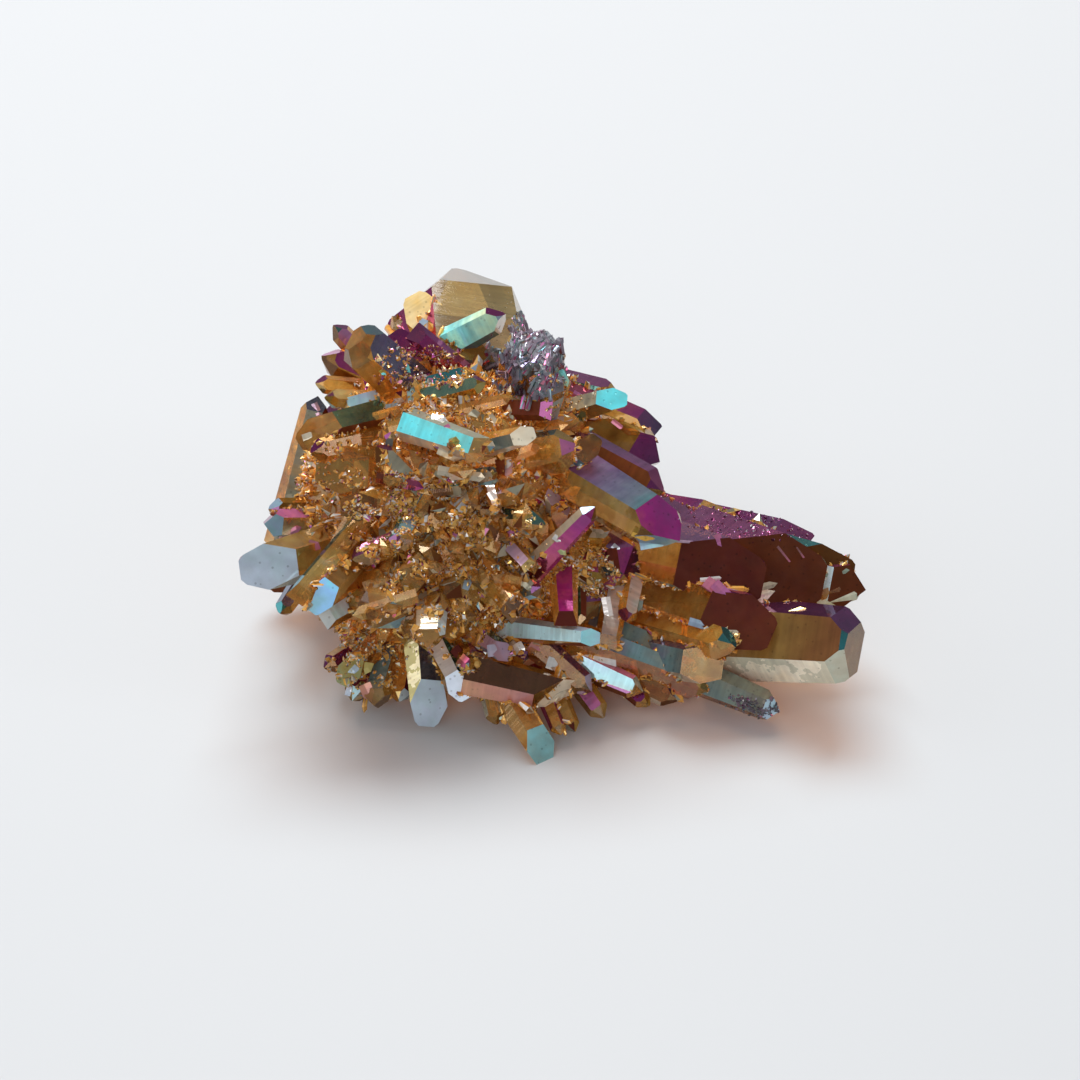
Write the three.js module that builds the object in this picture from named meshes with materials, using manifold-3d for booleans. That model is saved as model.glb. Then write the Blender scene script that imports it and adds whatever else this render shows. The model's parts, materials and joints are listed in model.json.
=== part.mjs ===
// An aura quartz cluster: quartz points that grew outwards from one root mass, joined in one solid,
// with the mass broken off flat where it stood on its rock.
// Millimetres, +Z up. The origin is the middle of the object's footprint box, on the surface it rests on.

import * as THREE from 'three';
import { mergeVertices } from 'three/addons/utils/BufferGeometryUtils.js';
import Module from 'manifold-3d';

const wasm = await Module();
wasm.setup();

// Driving dimensions. The length is the real one, and every point is placed by it and by where it shows in
// the photograph: pixels times MM_PER_PX are millimetres at the point that the eye looks at.
const CLUSTER_LENGTH = 78;          // tip of the left grey point to the tip of the right prong
const PHOTO_LENGTH_PX = 615;        // the same length in the photograph
const MM_PER_PX = CLUSTER_LENGTH / PHOTO_LENGTH_PX;
const PHOTO_MIDDLE_PX = 540;
const VIEW_ELEVATION = THREE.MathUtils.degToRad(38);
const VIEW_DISTANCE = 260;          // eye to the point it looks at
const VIEW_AIM = new THREE.Vector3(10.8, -1.5, 13);

// The root mass: a lumpy egg, cut flat at the height of the surface
const MASS_CENTRE = new THREE.Vector3(-0.5, 1, 14);
const MASS_RADII = new THREE.Vector3(19.5, 17, 19.5);
const MASS_LUMP = 0.055;            // share of the radius that the lumps rise and fall
const MASS_DETAIL = 3;
// The lobe of the mass that the right prong grows from
const LOBE_CENTRE = new THREE.Vector3(13, -1.5, 8);
const LOBE_RADII = new THREE.Vector3(14, 10.5, 7.5);
const LOBE_DETAIL = 2;

// Quartz geometry: a rhombohedral end face leans this far from the long axis
const END_FACE_LEAN = THREE.MathUtils.degToRad(51.8);
const TAPER = 0.04;                 // how much a side leans in over each mm of length
const BREAK_SLOPE = [0.12, -0.1];   // how a broken tip's face leans, over each mm to either side
const UNEVEN_FILL = 0.12;           // share of the width by which a smaller point's sides differ
const SLIVER = 0.03;                // facets thinner than this are merged into their neighbours

// End shapes: how far each of the six end faces is set back, in crystal widths. A face set back further is
// larger. The first face is on the broad side, and they go round from there.
const SIX_SIDED = [0, 0.08, 0, 0.12, 0.04, 0.08];
const THREE_SIDED = [0.36, 0, 0.36, 0, 0.36, 0];
const CHISEL = [0.5, 0, 0.05, 0.5, 0, 0.05];
const SLANT = [0.85, 0.3, 0, 0, 0, 0.3];
const SLANT_ASIDE = [0.3, 0.85, 0.3, 0, 0, 0];
const SLANT_BACK = [0, 0.3, 0.3, 0.6, 0.1, 0];
const BLUNT = [0.3, 0.3, 0.25, 0.3, 0.25, 0.3];
const LANCE_END = [0.42, 0.16, 0.2, 0, 0, 0.05];
const SMOKY_END = [0.1, 0.02, 0.04, 0.08, 0.12, 0.1];

const RIGHT = new THREE.Vector3(1, 0, 0);
const TOWARDS = new THREE.Vector3(0, -Math.cos(VIEW_ELEVATION), Math.sin(VIEW_ELEVATION));
const UP = new THREE.Vector3().crossVectors(TOWARDS, RIGHT);
const EYE = VIEW_AIM.clone().addScaledVector(TOWARDS, VIEW_DISTANCE);

// The point that shows at pixel (u, v), `near` mm nearer to the eye than the point looked at
function seen(u, v, near) {
  const spread = MM_PER_PX * (1 - near / VIEW_DISTANCE);
  return VIEW_AIM.clone()
    .addScaledVector(RIGHT, (u - PHOTO_MIDDLE_PX) * spread)
    .addScaledVector(UP, (PHOTO_MIDDLE_PX - v) * spread)
    .addScaledVector(TOWARDS, near);
}

// Distance along `way` from `start` to where it leaves the mass's egg made `size` times as large. A line that
// misses it gives the distance to where it comes closest.
function reachOfMass(start, way, size, side) {
  const q = start.clone().sub(MASS_CENTRE).divide(MASS_RADII);
  const w = way.clone().divide(MASS_RADII);
  const a = w.dot(w);
  const b = q.dot(w);
  const c = q.dot(q) - size * size;
  return (-b + side * Math.sqrt(Math.max(0, b * b - a * c))) / a;
}

// How near the root mass's surface is at pixel (u, v). Past its outline, the nearest of the outline counts.
function massNear(u, v) {
  const ray = seen(u, v, 0).sub(EYE);
  return VIEW_DISTANCE * (1 - reachOfMass(EYE, ray, 1, -1));
}

// How near a point at pixel (u, v) is when it stands `height` mm over the surface
function nearAtHeight(u, v, height) {
  const flatHeight = VIEW_AIM.z + UP.z * (PHOTO_MIDDLE_PX - v) * MM_PER_PX;
  const rise = TOWARDS.z - UP.z * (PHOTO_MIDDLE_PX - v) * MM_PER_PX / VIEW_DISTANCE;
  return (height - flatHeight) / rise;
}

function solidOf(geometry) {
  geometry.deleteAttribute('normal');
  geometry.deleteAttribute('uv');
  const merged = mergeVertices(geometry, 1e-4);
  return new wasm.Manifold(new wasm.Mesh({
    numProp: 3,
    vertProperties: merged.attributes.position.array,
    triVerts: new Uint32Array(merged.index.array),
  }));
}

// A quartz point from foot to tip. `turn` swings its broad face from the viewer, in degrees about its axis.
// `broken` snaps the tip off, this many widths down.
function crystal({ foot, tip, width, flat = 0.8, turn = 0, end = SIX_SIDED, uneven = 0, broken = 0 }) {
  const axis = tip.clone().sub(foot);
  const length = axis.length();
  axis.normalize();
  const block = new THREE.BoxGeometry(3 * width, 3 * width, length + 4 * width);
  let solid = solidOf(block);
  const cosine = Math.cos(END_FACE_LEAN);
  const sine = Math.sin(END_FACE_LEAN);
  for (let k = 0; k < 6; k++) {
    const around = k * Math.PI / 3;
    const x = Math.cos(around);
    const y = Math.sin(around);
    const thick = (k % 3 === 0 ? flat : (1 + flat * 0.6) / 1.6) * width * Math.sqrt(3) / 4;
    const reach = thick * (1 + uneven * Math.sin(2.4 * k + width)) + TAPER * length / 4;
    solid = solid.trimByPlane([-x, -y, -TAPER], -reach);
    solid = solid.trimByPlane([-x * sine, -y * sine, -cosine], cosine * (end[k] * width - length / 2));
  }
  if (broken > 0) {
    const top = solid.boundingBox().max[2];
    solid = solid.trimByPlane([...BREAK_SLOPE, -1], -(top - broken * width));
  }
  const top = solid.boundingBox().max[2];
  solid = solid.translate([0, 0, length - top]).trimByPlane([0, 0, 1], 0);
  const facing = TOWARDS.clone().addScaledVector(axis, -TOWARDS.dot(axis)).normalize();
  const side = new THREE.Vector3().crossVectors(axis, facing);
  const angle = THREE.MathUtils.degToRad(turn);
  const broad = facing.clone().multiplyScalar(Math.cos(angle)).addScaledVector(side, Math.sin(angle));
  const edge = new THREE.Vector3().crossVectors(axis, broad);
  const place = new THREE.Matrix4().makeBasis(broad, edge, axis).setPosition(foot);
  return solid.transform(place.elements);
}

// A point placed as the photograph shows it. `lean` is how much nearer its tip is than the mass at its foot.
function placed({ foot, tip, lean = 4, sink = 4, ...shape }) {
  const surface = massNear(...foot);
  return crystal({ foot: seen(...foot, surface - sink), tip: seen(...tip, surface + lean), ...shape });
}

// A point that hangs low, placed by the heights of its foot and its tip over the surface
function hung({ foot, tip, heights, ...shape }) {
  const footNear = nearAtHeight(...foot, heights[0]);
  const tipNear = nearAtHeight(...tip, heights[1]);
  return crystal({ foot: seen(...foot, footNear), tip: seen(...tip, tipNear), ...shape });
}

// An egg whose surface rises and falls in waves that cross, so that no two lumps are alike
function lumpyEgg(centre, radii, detail) {
  const egg = new THREE.IcosahedronGeometry(1, detail);
  const place = egg.attributes.position;
  const p = new THREE.Vector3();
  for (let i = 0; i < place.count; i++) {
    p.fromBufferAttribute(place, i);
    const lump = Math.sin(5.1 * p.x + 1.3) * Math.sin(4.3 * p.y + 0.4) + 0.7 * Math.sin(7.7 * p.z + 2 * p.x);
    p.multiplyScalar(1 + MASS_LUMP * lump).multiply(radii).add(centre);
    place.setXYZ(i, p.x, p.y, p.z);
  }
  return solidOf(egg);
}

// The points that the photograph shows, by their place in it. Pixels of the 1080 px frame, sizes in mm.
// The right prong: large points lying side by side, and the points round their feet
const PRONG = {
  far_tip: { foot: [640, 538], tip: [866, 590], lean: 8, sink: 10, width: 8.2, turn: 6, end: THREE_SIDED },
  third_step: { foot: [630, 530], tip: [842, 580], lean: 10, sink: 10, width: 8.4, turn: 12, end: SLANT },
  second_step: { foot: [630, 530], tip: [806, 582], lean: 12, sink: 9, width: 10.8, turn: 10, end: SLANT },
  first_step: { foot: [610, 540], tip: [744, 580], lean: 14, sink: 8, width: 9.6, turn: 8, end: SLANT },
  back_shoulder: { foot: [620, 518], tip: [804, 550], lean: 3, sink: 11, width: 7.8, turn: -50, end: CHISEL },
  back_saddle: { foot: [610, 510], tip: [736, 524], lean: 2, sink: 10, width: 5.8, turn: -50, end: SLANT },
  olive_block: { foot: [640, 632], tip: [858, 646], lean: 16, sink: 2, width: 10.4, turn: -12, broken: 0.32 },
  rose_point: { foot: [610, 575], tip: [760, 629], lean: 16, sink: 4, width: 7.8, turn: -6, end: SLANT },
  amber_finger: { foot: [590, 605], tip: [736, 648], lean: 16, sink: 4, width: 5.4, turn: -30 },
  grey_band: { foot: [580, 640], tip: [714, 667], lean: 16, sink: 4, width: 5.4, flat: 0.7, end: SLANT },
};

// The rim above the prong, up to the crown
const RIM = {
  ridge: { foot: [530, 385], tip: [656, 434], lean: -2, sink: 6, width: 5.6, turn: -55, end: CHISEL },
  ridge_back: { foot: [520, 380], tip: [622, 400], lean: -5, sink: 8, width: 5.4, turn: -60 },
  cyan_cap: { foot: [555, 416], tip: [622, 396], lean: 3, sink: 3, width: 3.4, turn: -32, end: SLANT },
  striated: { foot: [560, 415], tip: [660, 462], lean: 2, sink: 6, width: 7, turn: -8, end: THREE_SIDED },
  under_lance: { foot: [560, 440], tip: [664, 492], lean: 1, sink: 6, width: 5 },
  lance: { foot: [545, 458], tip: [676, 536], lean: 7, sink: 5, width: 7.2, turn: -38, end: LANCE_END },
  lance_root: { foot: [560, 470], tip: [594, 443], lean: 5, sink: 2, width: 3.2, turn: 20, end: SLANT },
  magenta_bar: { foot: [515, 588], tip: [595, 507], lean: 6, sink: 1, width: 2.8, turn: 14, end: BLUNT },
  lilac_blade: { foot: [558, 560], tip: [557, 492], width: 3.6, flat: 0.6, turn: 12, end: SLANT_ASIDE },
  pink_stub: { foot: [562, 560], tip: [566, 626], lean: 6, sink: 3, width: 3.2, turn: -5, end: CHISEL },
  dark_stub: { foot: [577, 575], tip: [579, 625], lean: 5, sink: 3, width: 2.2, turn: 20 },
  clear_pillar: { foot: [627, 530], tip: [606, 648], lean: 10, sink: 2, width: 3.6, flat: 0.7, end: CHISEL },
  clear_pillar_right: { foot: [640, 540], tip: [626, 622], lean: 9, sink: 3, width: 3, turn: -20 },
};

// The crown: points that stand up and back from the top of the mass
const CROWN = {
  back_smoky: { foot: [468, 400], tip: [452, 267], lean: -25, sink: 12, width: 20, turn: 20, end: SMOKY_END },
  yellow_facet: { foot: [450, 370], tip: [417, 298], lean: 0, sink: 5, width: 5.4, turn: 12, end: SLANT },
  back_tiny: { foot: [430, 370], tip: [392, 316], lean: -6, sink: 6, width: 3 },
  left_pink_high: { foot: [385, 380], tip: [333, 325], lean: -2, sink: 5, width: 3, turn: 10 },
  left_pink_low: { foot: [385, 385], tip: [321, 356], lean: -1, sink: 5, width: 4.2, turn: 25 },
  left_fawn: { foot: [380, 392], tip: [315, 383], lean: -1, sink: 5, width: 2.6 },
  left_peach: { foot: [385, 402], tip: [324, 398], lean: 0, sink: 4, width: 2.8, turn: 35 },
  slate_block: { foot: [425, 402], tip: [354, 338], lean: 3, sink: 6, width: 7, turn: 30, broken: 0.25 },
  slate_behind: { foot: [430, 395], tip: [398, 334], lean: -1, sink: 5, width: 4.4, turn: 20, end: SLANT },
  maroon_rod: { foot: [470, 382], tip: [412, 330], lean: 3, sink: 2, width: 2.8, flat: 0.9, end: CHISEL },
  cyan_slab: { foot: [430, 354], tip: [506, 314], lean: 3, sink: 1, width: 4.4, flat: 0.6, turn: 5 },
  blue_strip: { foot: [466, 345], tip: [418, 324], lean: -1, sink: 2, width: 2.2, turn: 25, end: CHISEL },
  teal_bar: { foot: [352, 412], tip: [476, 374], lean: 4, sink: -2, width: 3.8, flat: 0.7, turn: -20 },
  gold_bar: { foot: [385, 408], tip: [486, 382], lean: 3, sink: 2, width: 2.8, turn: -15 },
  broken_stub: { foot: [530, 400], tip: [532, 348], lean: 6, sink: 5, width: 8.4, turn: 10, broken: 0.4 },
  broken_low: { foot: [535, 415], tip: [548, 384], lean: 6, sink: 5, width: 5, flat: 0.85, broken: 0.35 },
  slate_chip: { foot: [540, 395], tip: [560, 343], lean: 0, sink: 3, width: 2.8, turn: 15, end: BLUNT },
  mint_chip: { foot: [545, 420], tip: [566, 374], lean: 1, sink: 3, width: 2.4, turn: 10 },
  dark_window: { foot: [480, 406], tip: [552, 410], lean: 3, width: 3, flat: 0.7, end: CHISEL },
};

// The left side, from the tall point down to the grey one
const LEFT = {
  tall_olive: { foot: [284, 545], tip: [318, 396], lean: 2, sink: 4, width: 4, turn: 8, end: THREE_SIDED },
  gold_block: { foot: [390, 416], tip: [303, 436], width: 4.6, flat: 0.85, turn: 28, end: SLANT },
  gold_block_low: { foot: [395, 436], tip: [310, 453], lean: 3, sink: 4, width: 3.4 },
  far_grey: { foot: [345, 545], tip: [251, 571], lean: 8, width: 5.8, flat: 0.85, turn: -14, end: SLANT },
  far_blue: { foot: [330, 525], tip: [264, 524], lean: 1, sink: 6, width: 4, turn: -10, end: THREE_SIDED },
  far_brown: { foot: [330, 510], tip: [268, 509], lean: -1, sink: 6, width: 3 },
  gold_rod: { foot: [385, 505], tip: [296, 602], lean: 5, sink: 3, width: 3.6, turn: 15, end: CHISEL },
  cyan_end: { foot: [372, 530], tip: [314, 606], lean: 7, sink: 3, width: 3.8, turn: -5, end: SLANT },
  ice_small: { foot: [350, 572], tip: [357, 608], lean: 5, sink: 2, width: 2.6, end: SLANT },
  ice_long: { foot: [376, 588], tip: [322, 621], lean: 6, sink: 3, width: 3, flat: 0.7, end: CHISEL },
  peach_blunt: { foot: [410, 560], tip: [372, 628], lean: 5, width: 6.6, flat: 0.85, turn: 24, end: BLUNT },
  gold_lump: { foot: [310, 570], tip: [280, 614], lean: 2, sink: 5, width: 2.6 },
};

// The front face: points lying near the middle, where the crystals radiate from
const MIDDLE = {
  cyan_bright: { foot: [406, 424], tip: [486, 451], lean: 7, sink: -2, width: 3.6, flat: 0.75, end: CHISEL },
  beige_pale_tip: { foot: [468, 450], tip: [531, 434], lean: 4, sink: 2, width: 2.6, turn: 10, end: SLANT },
  plate_top: { foot: [425, 478], tip: [470, 474], lean: 3, sink: 1.5, width: 2.2, flat: 0.5, end: BLUNT },
  plate_right: { foot: [450, 482], tip: [497, 472], lean: 3, width: 2.2, flat: 0.5, turn: 20, end: BLUNT },
  plate_low: { foot: [428, 494], tip: [466, 489], lean: 3, width: 2, flat: 0.5, turn: 10, end: BLUNT },
  lavender_stripe: { foot: [513, 448], tip: [506, 506], lean: 4, sink: 2, width: 2.8, turn: 25, end: CHISEL },
  ice_bar: { foot: [480, 488], tip: [450, 523], lean: 3, sink: 1.5, width: 1.7, turn: 10 },
  shard_high: { foot: [488, 478], tip: [498, 512], lean: 3, sink: 1.5, width: 1.6 },
  lavender_end: { foot: [500, 536], tip: [530, 568], lean: 4, sink: 2, width: 2.2, flat: 0.6, end: CHISEL },
  slotted_end: { foot: [490, 600], tip: [541, 587], lean: 5, sink: 2, width: 2.4, end: BLUNT },
  maroon_needle: { foot: [386, 474], tip: [391, 432], lean: 3, sink: 1.5, width: 1.7 },
  pink_chip: { foot: [336, 560], tip: [318, 552], lean: 4, sink: 1, width: 1.8, turn: 20, end: SLANT },
  amber_field: { foot: [500, 464], tip: [584, 446], lean: -1, width: 6, flat: 0.7, turn: -12, end: BLUNT },
  amber_left: { foot: [400, 470], tip: [322, 470], lean: 1, width: 6.2, flat: 0.7, turn: -10, end: SLANT },
  amber_low: { foot: [470, 560], tip: [440, 628], lean: 1, width: 6, flat: 0.7, turn: 10, end: SLANT },
  honey_up: { foot: [430, 505], tip: [376, 446], lean: 2, width: 3.2, turn: 20 },
  honey_low_left: { foot: [450, 540], tip: [396, 592], lean: 3, width: 4, turn: -20, end: SLANT },
  honey_low_right: { foot: [470, 545], tip: [520, 614], lean: 2, width: 3.8, turn: 30, end: CHISEL },
  honey_right: { foot: [470, 520], tip: [546, 524], lean: 2, width: 3.6, turn: 25 },
  honey_left: { foot: [425, 500], tip: [346, 508], lean: 2.5, width: 3.8, turn: -15, end: SLANT },
  honey_mid: { foot: [430, 530], tip: [352, 560], lean: 3, width: 3.4, turn: 30 },
  grey_hollow: { foot: [412, 520], tip: [396, 548], lean: 5, sink: 2, width: 2.8, end: BLUNT },
};

// The skirt: points that stand out over the front edge
const SKIRT = {
  pale_wedge: { foot: [430, 575], tip: [427, 648], lean: 6, width: 4.6, flat: 0.7, end: THREE_SIDED },
  sparkly_left: { foot: [375, 638], tip: [324, 668], lean: 3, sink: 4, width: 2.8, end: BLUNT },
  ice_blade: { foot: [500, 628], tip: [596, 638], lean: 9, sink: 3, width: 2.6, flat: 0.7, end: SLANT },
  maroon_end: { foot: [560, 655], tip: [644, 665], lean: 11, sink: 4, width: 3.8, end: BLUNT },
  square_chip: { foot: [480, 636], tip: [506, 654], lean: 6, sink: 2, width: 2.6, end: SLANT },
  white_chip: { foot: [505, 636], tip: [524, 660], lean: 6, sink: 2, width: 2.2, end: BLUNT },
  garnet_chip: { foot: [462, 640], tip: [470, 670], lean: 6, sink: 2, width: 2.6 },
};

// Points that hang low on the front, and the one whose tip stands on the surface
const HANGING = {
  bright_drop: { foot: [424, 632], tip: [430, 720], heights: [7, 3], width: 5, turn: -22, end: SLANT },
  bright_side: { foot: [435, 640], tip: [463, 695], heights: [7, 6], width: 3.2, end: SLANT },
  yellow_chip: { foot: [385, 635], tip: [343, 678], heights: [5, 6], width: 3.4, turn: 20, end: SLANT },
  orange_chip: { foot: [392, 645], tip: [374, 706], heights: [4, 3], width: 3.8, turn: 20, end: THREE_SIDED },
  violet_ball: { foot: [376, 648], tip: [352, 701], heights: [3.5, 3], width: 3.2, end: BLUNT },
  copper_chip: { foot: [408, 650], tip: [399, 702], heights: [4, 3], width: 2.8, turn: 15 },
  front_block: { foot: [466, 672], tip: [575, 697], heights: [7, 5], width: 5, turn: -20, end: SLANT_ASIDE },
  white_blade: { foot: [632, 651], tip: [545, 667], heights: [9, 9], width: 3, flat: 0.6, end: CHISEL },
  violet_chip: { foot: [538, 646], tip: [592, 692], heights: [8, 5], width: 3.4 },
  blue_plate: { foot: [580, 664], tip: [643, 692], heights: [5.5, 4.5], width: 3.4, flat: 0.6, end: BLUNT },
  foot_point: { foot: [486, 660], tip: [548, 758], heights: [5.5, 1], width: 4.2, turn: -30, end: SLANT },
  finger_left: { foot: [535, 668], tip: [561, 735], heights: [4.5, 2], width: 2.2, end: BLUNT },
  finger_right: { foot: [545, 666], tip: [575, 732], heights: [4.5, 2], width: 2.2, end: BLUNT },
  pink_knob: { foot: [566, 664], tip: [604, 718], heights: [4.5, 3], width: 2.8, end: BLUNT },
  low_knob: { foot: [600, 660], tip: [650, 706], heights: [4.5, 2.5], width: 2.8 },
  ember_knob: { foot: [480, 650], tip: [497, 725], heights: [7, 2.5], width: 2.6 },
  red_spear: { foot: [570, 640], tip: [712, 690], heights: [7, 3.5], width: 5, turn: 25 },
  red_low: { foot: [570, 645], tip: [680, 700], heights: [6, 2.5], width: 4, turn: 10 },
  red_behind: { foot: [590, 630], tip: [724, 678], heights: [6, 4], width: 5, turn: 30, end: SLANT },
  lilac_low: { foot: [610, 640], tip: [780, 711], heights: [5, 2.5], width: 4.4, turn: 15, end: THREE_SIDED },
};

// The back, which the photograph doesn't show: large points low behind the mass. Foot to tip in mm.
const BACK = {
  back_low: { foot: [0, 6, 12], tip: [3, 33, 9], width: 9, turn: 15, end: THREE_SIDED },
  back_left: { foot: [-4, 6, 12], tip: [-16, 28, 14], width: 8, turn: 40, end: SLANT_BACK },
  back_right: { foot: [4, 6, 12], tip: [15, 29, 13], width: 7, turn: -20, end: CHISEL },
  back_far_left: { foot: [-6, 4, 10], tip: [-24, 17, 7], width: 6.5, turn: 60, end: THREE_SIDED },
  back_far_right: { foot: [8, 4, 10], tip: [25, 20, 7], width: 7, turn: -60, end: SLANT_BACK },
  back_high_left: { foot: [-3, 5, 18], tip: [-9, 25, 25], width: 6.5, turn: 10 },
  back_high_right: { foot: [4, 5, 18], tip: [11, 24, 22], width: 6, turn: 30, end: SLANT_BACK },
  back_floor: { foot: [-4, 6, 7], tip: [-8, 29, 3.5], width: 6, end: CHISEL },
  back_floor_right: { foot: [6, 6, 7], tip: [14, 24, 3.5], width: 5, turn: 15 },
  left_floor: { foot: [-6, -2, 8], tip: [-25, 2, 4], width: 5, turn: 30, end: SLANT_BACK },
};

// Repeatable numbers from 0 to 1
function chances(seed) {
  let state = seed;
  return () => {
    state = (state * 1664525 + 1013904223) % 4294967296;
    return state / 4294967296;
  };
}

// Smaller points all over the mass. Those in the photograph's view lie flat and point away from the middle
// that the cluster radiates from, those at its outline stay short, and those behind stand out.
const FILL_COUNT = 108;
const FILL_SEED = 20;
const FILL_LOWEST = -0.6;           // how far down a point may face, as the height of its direction
const FACING = 0.35;                // share of facing the eye that parts the front, the outline and the back
const FILL_FOOT = 0.78;             // how deep in the mass a point's foot lies, as a share of the radius
const RADIATE_MIDDLE = new THREE.Vector3(-0.15, -0.85, 0.6).normalize();
const FRONT_FILL = { width: [2, 2.4], stand: [1.08, 0.08], outward: 0.7, along: 1, wander: 0.9 };
const OUTLINE_FILL = { width: [2, 2], stand: [1.06, 0.08], outward: 1, along: 0.4, wander: 1 };
const BACK_FILL = { width: [2.4, 3.6], stand: [1.1, 0.28], outward: 1, along: 0.3, wander: 1.1 };

function fillPoints() {
  const chance = chances(FILL_SEED);
  const points = [];
  const golden = Math.PI * (3 - Math.sqrt(5));
  const ends = [SIX_SIDED, THREE_SIDED, CHISEL, SLANT, BLUNT];
  for (let i = 0; i < FILL_COUNT; i++) {
    const z = 1 - 2 * (i + 0.5) / FILL_COUNT;
    const ring = Math.sqrt(1 - z * z);
    const out = new THREE.Vector3(ring * Math.cos(i * golden), ring * Math.sin(i * golden), z);
    const wander = new THREE.Vector3(chance() - 0.5, chance() - 0.5, chance() - 0.5);
    const size = chance() ** 2;
    const flat = 0.7 + 0.25 * chance();
    const turn = 360 * chance();
    const end = ends[Math.floor(ends.length * chance())];
    if (z < FILL_LOWEST) {
      continue;
    }
    const facing = out.dot(TOWARDS);
    const kind = facing > FACING ? FRONT_FILL : facing > -FACING ? OUTLINE_FILL : BACK_FILL;
    const along = out.clone().sub(RADIATE_MIDDLE);
    along.addScaledVector(out, -along.dot(out)).normalize();
    const way = out.clone().multiplyScalar(kind.outward)
      .addScaledVector(along, kind.along)
      .addScaledVector(wander, kind.wander)
      .normalize();
    const foot = out.clone().multiply(MASS_RADII).multiplyScalar(FILL_FOOT).add(MASS_CENTRE);
    const length = reachOfMass(foot, way, kind.stand[0] + kind.stand[1] * size, 1);
    const width = kind.width[0] + kind.width[1] * size;
    const tip = foot.clone().addScaledVector(way, length);
    points.push(crystal({ foot, tip, width, end, flat, turn, uneven: UNEVEN_FILL }));
  }
  return points;
}

function backPoints() {
  return Object.values(BACK).map(({ foot, tip, ...shape }) => {
    return crystal({ foot: new THREE.Vector3(...foot), tip: new THREE.Vector3(...tip), ...shape });
  });
}

const placedLists = [PRONG, RIM, CROWN, LEFT, MIDDLE, SKIRT];
const placedPoints = placedLists.flatMap(list => Object.values(list).map(placed));
const hungPoints = Object.values(HANGING).map(hung);
const mass = lumpyEgg(MASS_CENTRE, MASS_RADII, MASS_DETAIL);
const lobe = lumpyEgg(LOBE_CENTRE, LOBE_RADII, LOBE_DETAIL);
const pieces = [mass, lobe, ...placedPoints, ...hungPoints, ...backPoints(), ...fillPoints()];
const grown = wasm.Manifold.union(pieces).trimByPlane([0, 0, 1], 0);
// Points that cross can close off a hollow between them. The outer skin alone is the solid, with none inside.
const skins = grown.decompose().sort((a, b) => b.volume() - a.volume());
const skin = skins[0].simplify(SLIVER);
const box = skin.boundingBox();
const cluster = skin.translate([-(box.min[0] + box.max[0]) / 2, -(box.min[1] + box.max[1]) / 2, 0]);

const mesh = cluster.getMesh();
const geometry = new THREE.BufferGeometry();
geometry.setAttribute('position', new THREE.BufferAttribute(new Float32Array(mesh.vertProperties), 3));
geometry.setIndex(new THREE.BufferAttribute(new Uint32Array(mesh.triVerts), 1));
const quartz = new THREE.MeshStandardMaterial({ color: 0xb87a2e, roughness: 0.12, metalness: 0.35 });
const crystalCluster = new THREE.Mesh(geometry, quartz);
crystalCluster.name = 'crystal_cluster';
const part = new THREE.Group();
part.add(crystalCluster);

export default part;
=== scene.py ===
import json
import math

import bpy
import numpy as np
from mathutils import Matrix, Vector
from mathutils.bvhtree import BVHTree

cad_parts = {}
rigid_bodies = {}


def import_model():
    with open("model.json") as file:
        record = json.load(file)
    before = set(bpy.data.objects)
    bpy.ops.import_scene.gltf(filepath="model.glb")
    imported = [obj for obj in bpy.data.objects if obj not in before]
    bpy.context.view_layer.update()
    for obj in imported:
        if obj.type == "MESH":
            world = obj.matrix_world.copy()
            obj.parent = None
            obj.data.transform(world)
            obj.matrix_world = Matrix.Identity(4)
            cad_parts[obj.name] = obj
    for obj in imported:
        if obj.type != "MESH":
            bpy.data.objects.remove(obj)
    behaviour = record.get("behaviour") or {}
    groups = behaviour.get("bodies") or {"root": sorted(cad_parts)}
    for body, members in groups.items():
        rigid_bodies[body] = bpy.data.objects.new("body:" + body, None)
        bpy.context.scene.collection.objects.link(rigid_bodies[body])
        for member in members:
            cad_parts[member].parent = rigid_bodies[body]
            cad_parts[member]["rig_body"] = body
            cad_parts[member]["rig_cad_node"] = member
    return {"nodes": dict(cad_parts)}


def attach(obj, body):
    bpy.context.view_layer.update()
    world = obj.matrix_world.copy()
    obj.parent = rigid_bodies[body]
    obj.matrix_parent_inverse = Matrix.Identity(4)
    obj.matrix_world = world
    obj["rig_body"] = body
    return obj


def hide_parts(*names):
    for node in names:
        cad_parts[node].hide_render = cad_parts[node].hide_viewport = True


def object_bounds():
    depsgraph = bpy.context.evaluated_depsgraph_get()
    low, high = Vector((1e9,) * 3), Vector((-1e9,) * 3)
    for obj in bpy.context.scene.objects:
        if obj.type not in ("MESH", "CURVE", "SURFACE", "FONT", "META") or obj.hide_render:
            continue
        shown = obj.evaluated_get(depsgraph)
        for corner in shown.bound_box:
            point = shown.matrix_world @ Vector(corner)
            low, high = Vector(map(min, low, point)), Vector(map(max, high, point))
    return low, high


# An aura quartz cluster on a pale table: the film on its crystals, the small points and druse, and the studio

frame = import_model()
cad_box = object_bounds()

MM = 0.001
CLUSTER = "crystal_cluster"

# The photograph's view: its length in pixels gives the scale at the point that the eye looks at
PHOTO_SIDE_PX = 1080
CLUSTER_LENGTH = 78 * MM
CLUSTER_LENGTH_PX = 615
VIEW_ELEVATION = math.radians(38)
VIEW_DISTANCE = 260 * MM
VIEW_AIM = Vector((-2.04, -3.61, 13)) * MM
PIXEL = CLUSTER_LENGTH / CLUSTER_LENGTH_PX
RIGHT = Vector((1, 0, 0))
TOWARDS = Vector((0, -math.cos(VIEW_ELEVATION), math.sin(VIEW_ELEVATION)))
UP = TOWARDS.cross(RIGHT)
EYE = VIEW_AIM + TOWARDS * VIEW_DISTANCE
SENSOR_WIDTH_MM = 36
NEAR_CLIP = 10 * MM
FAR_CLIP = 20

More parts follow.
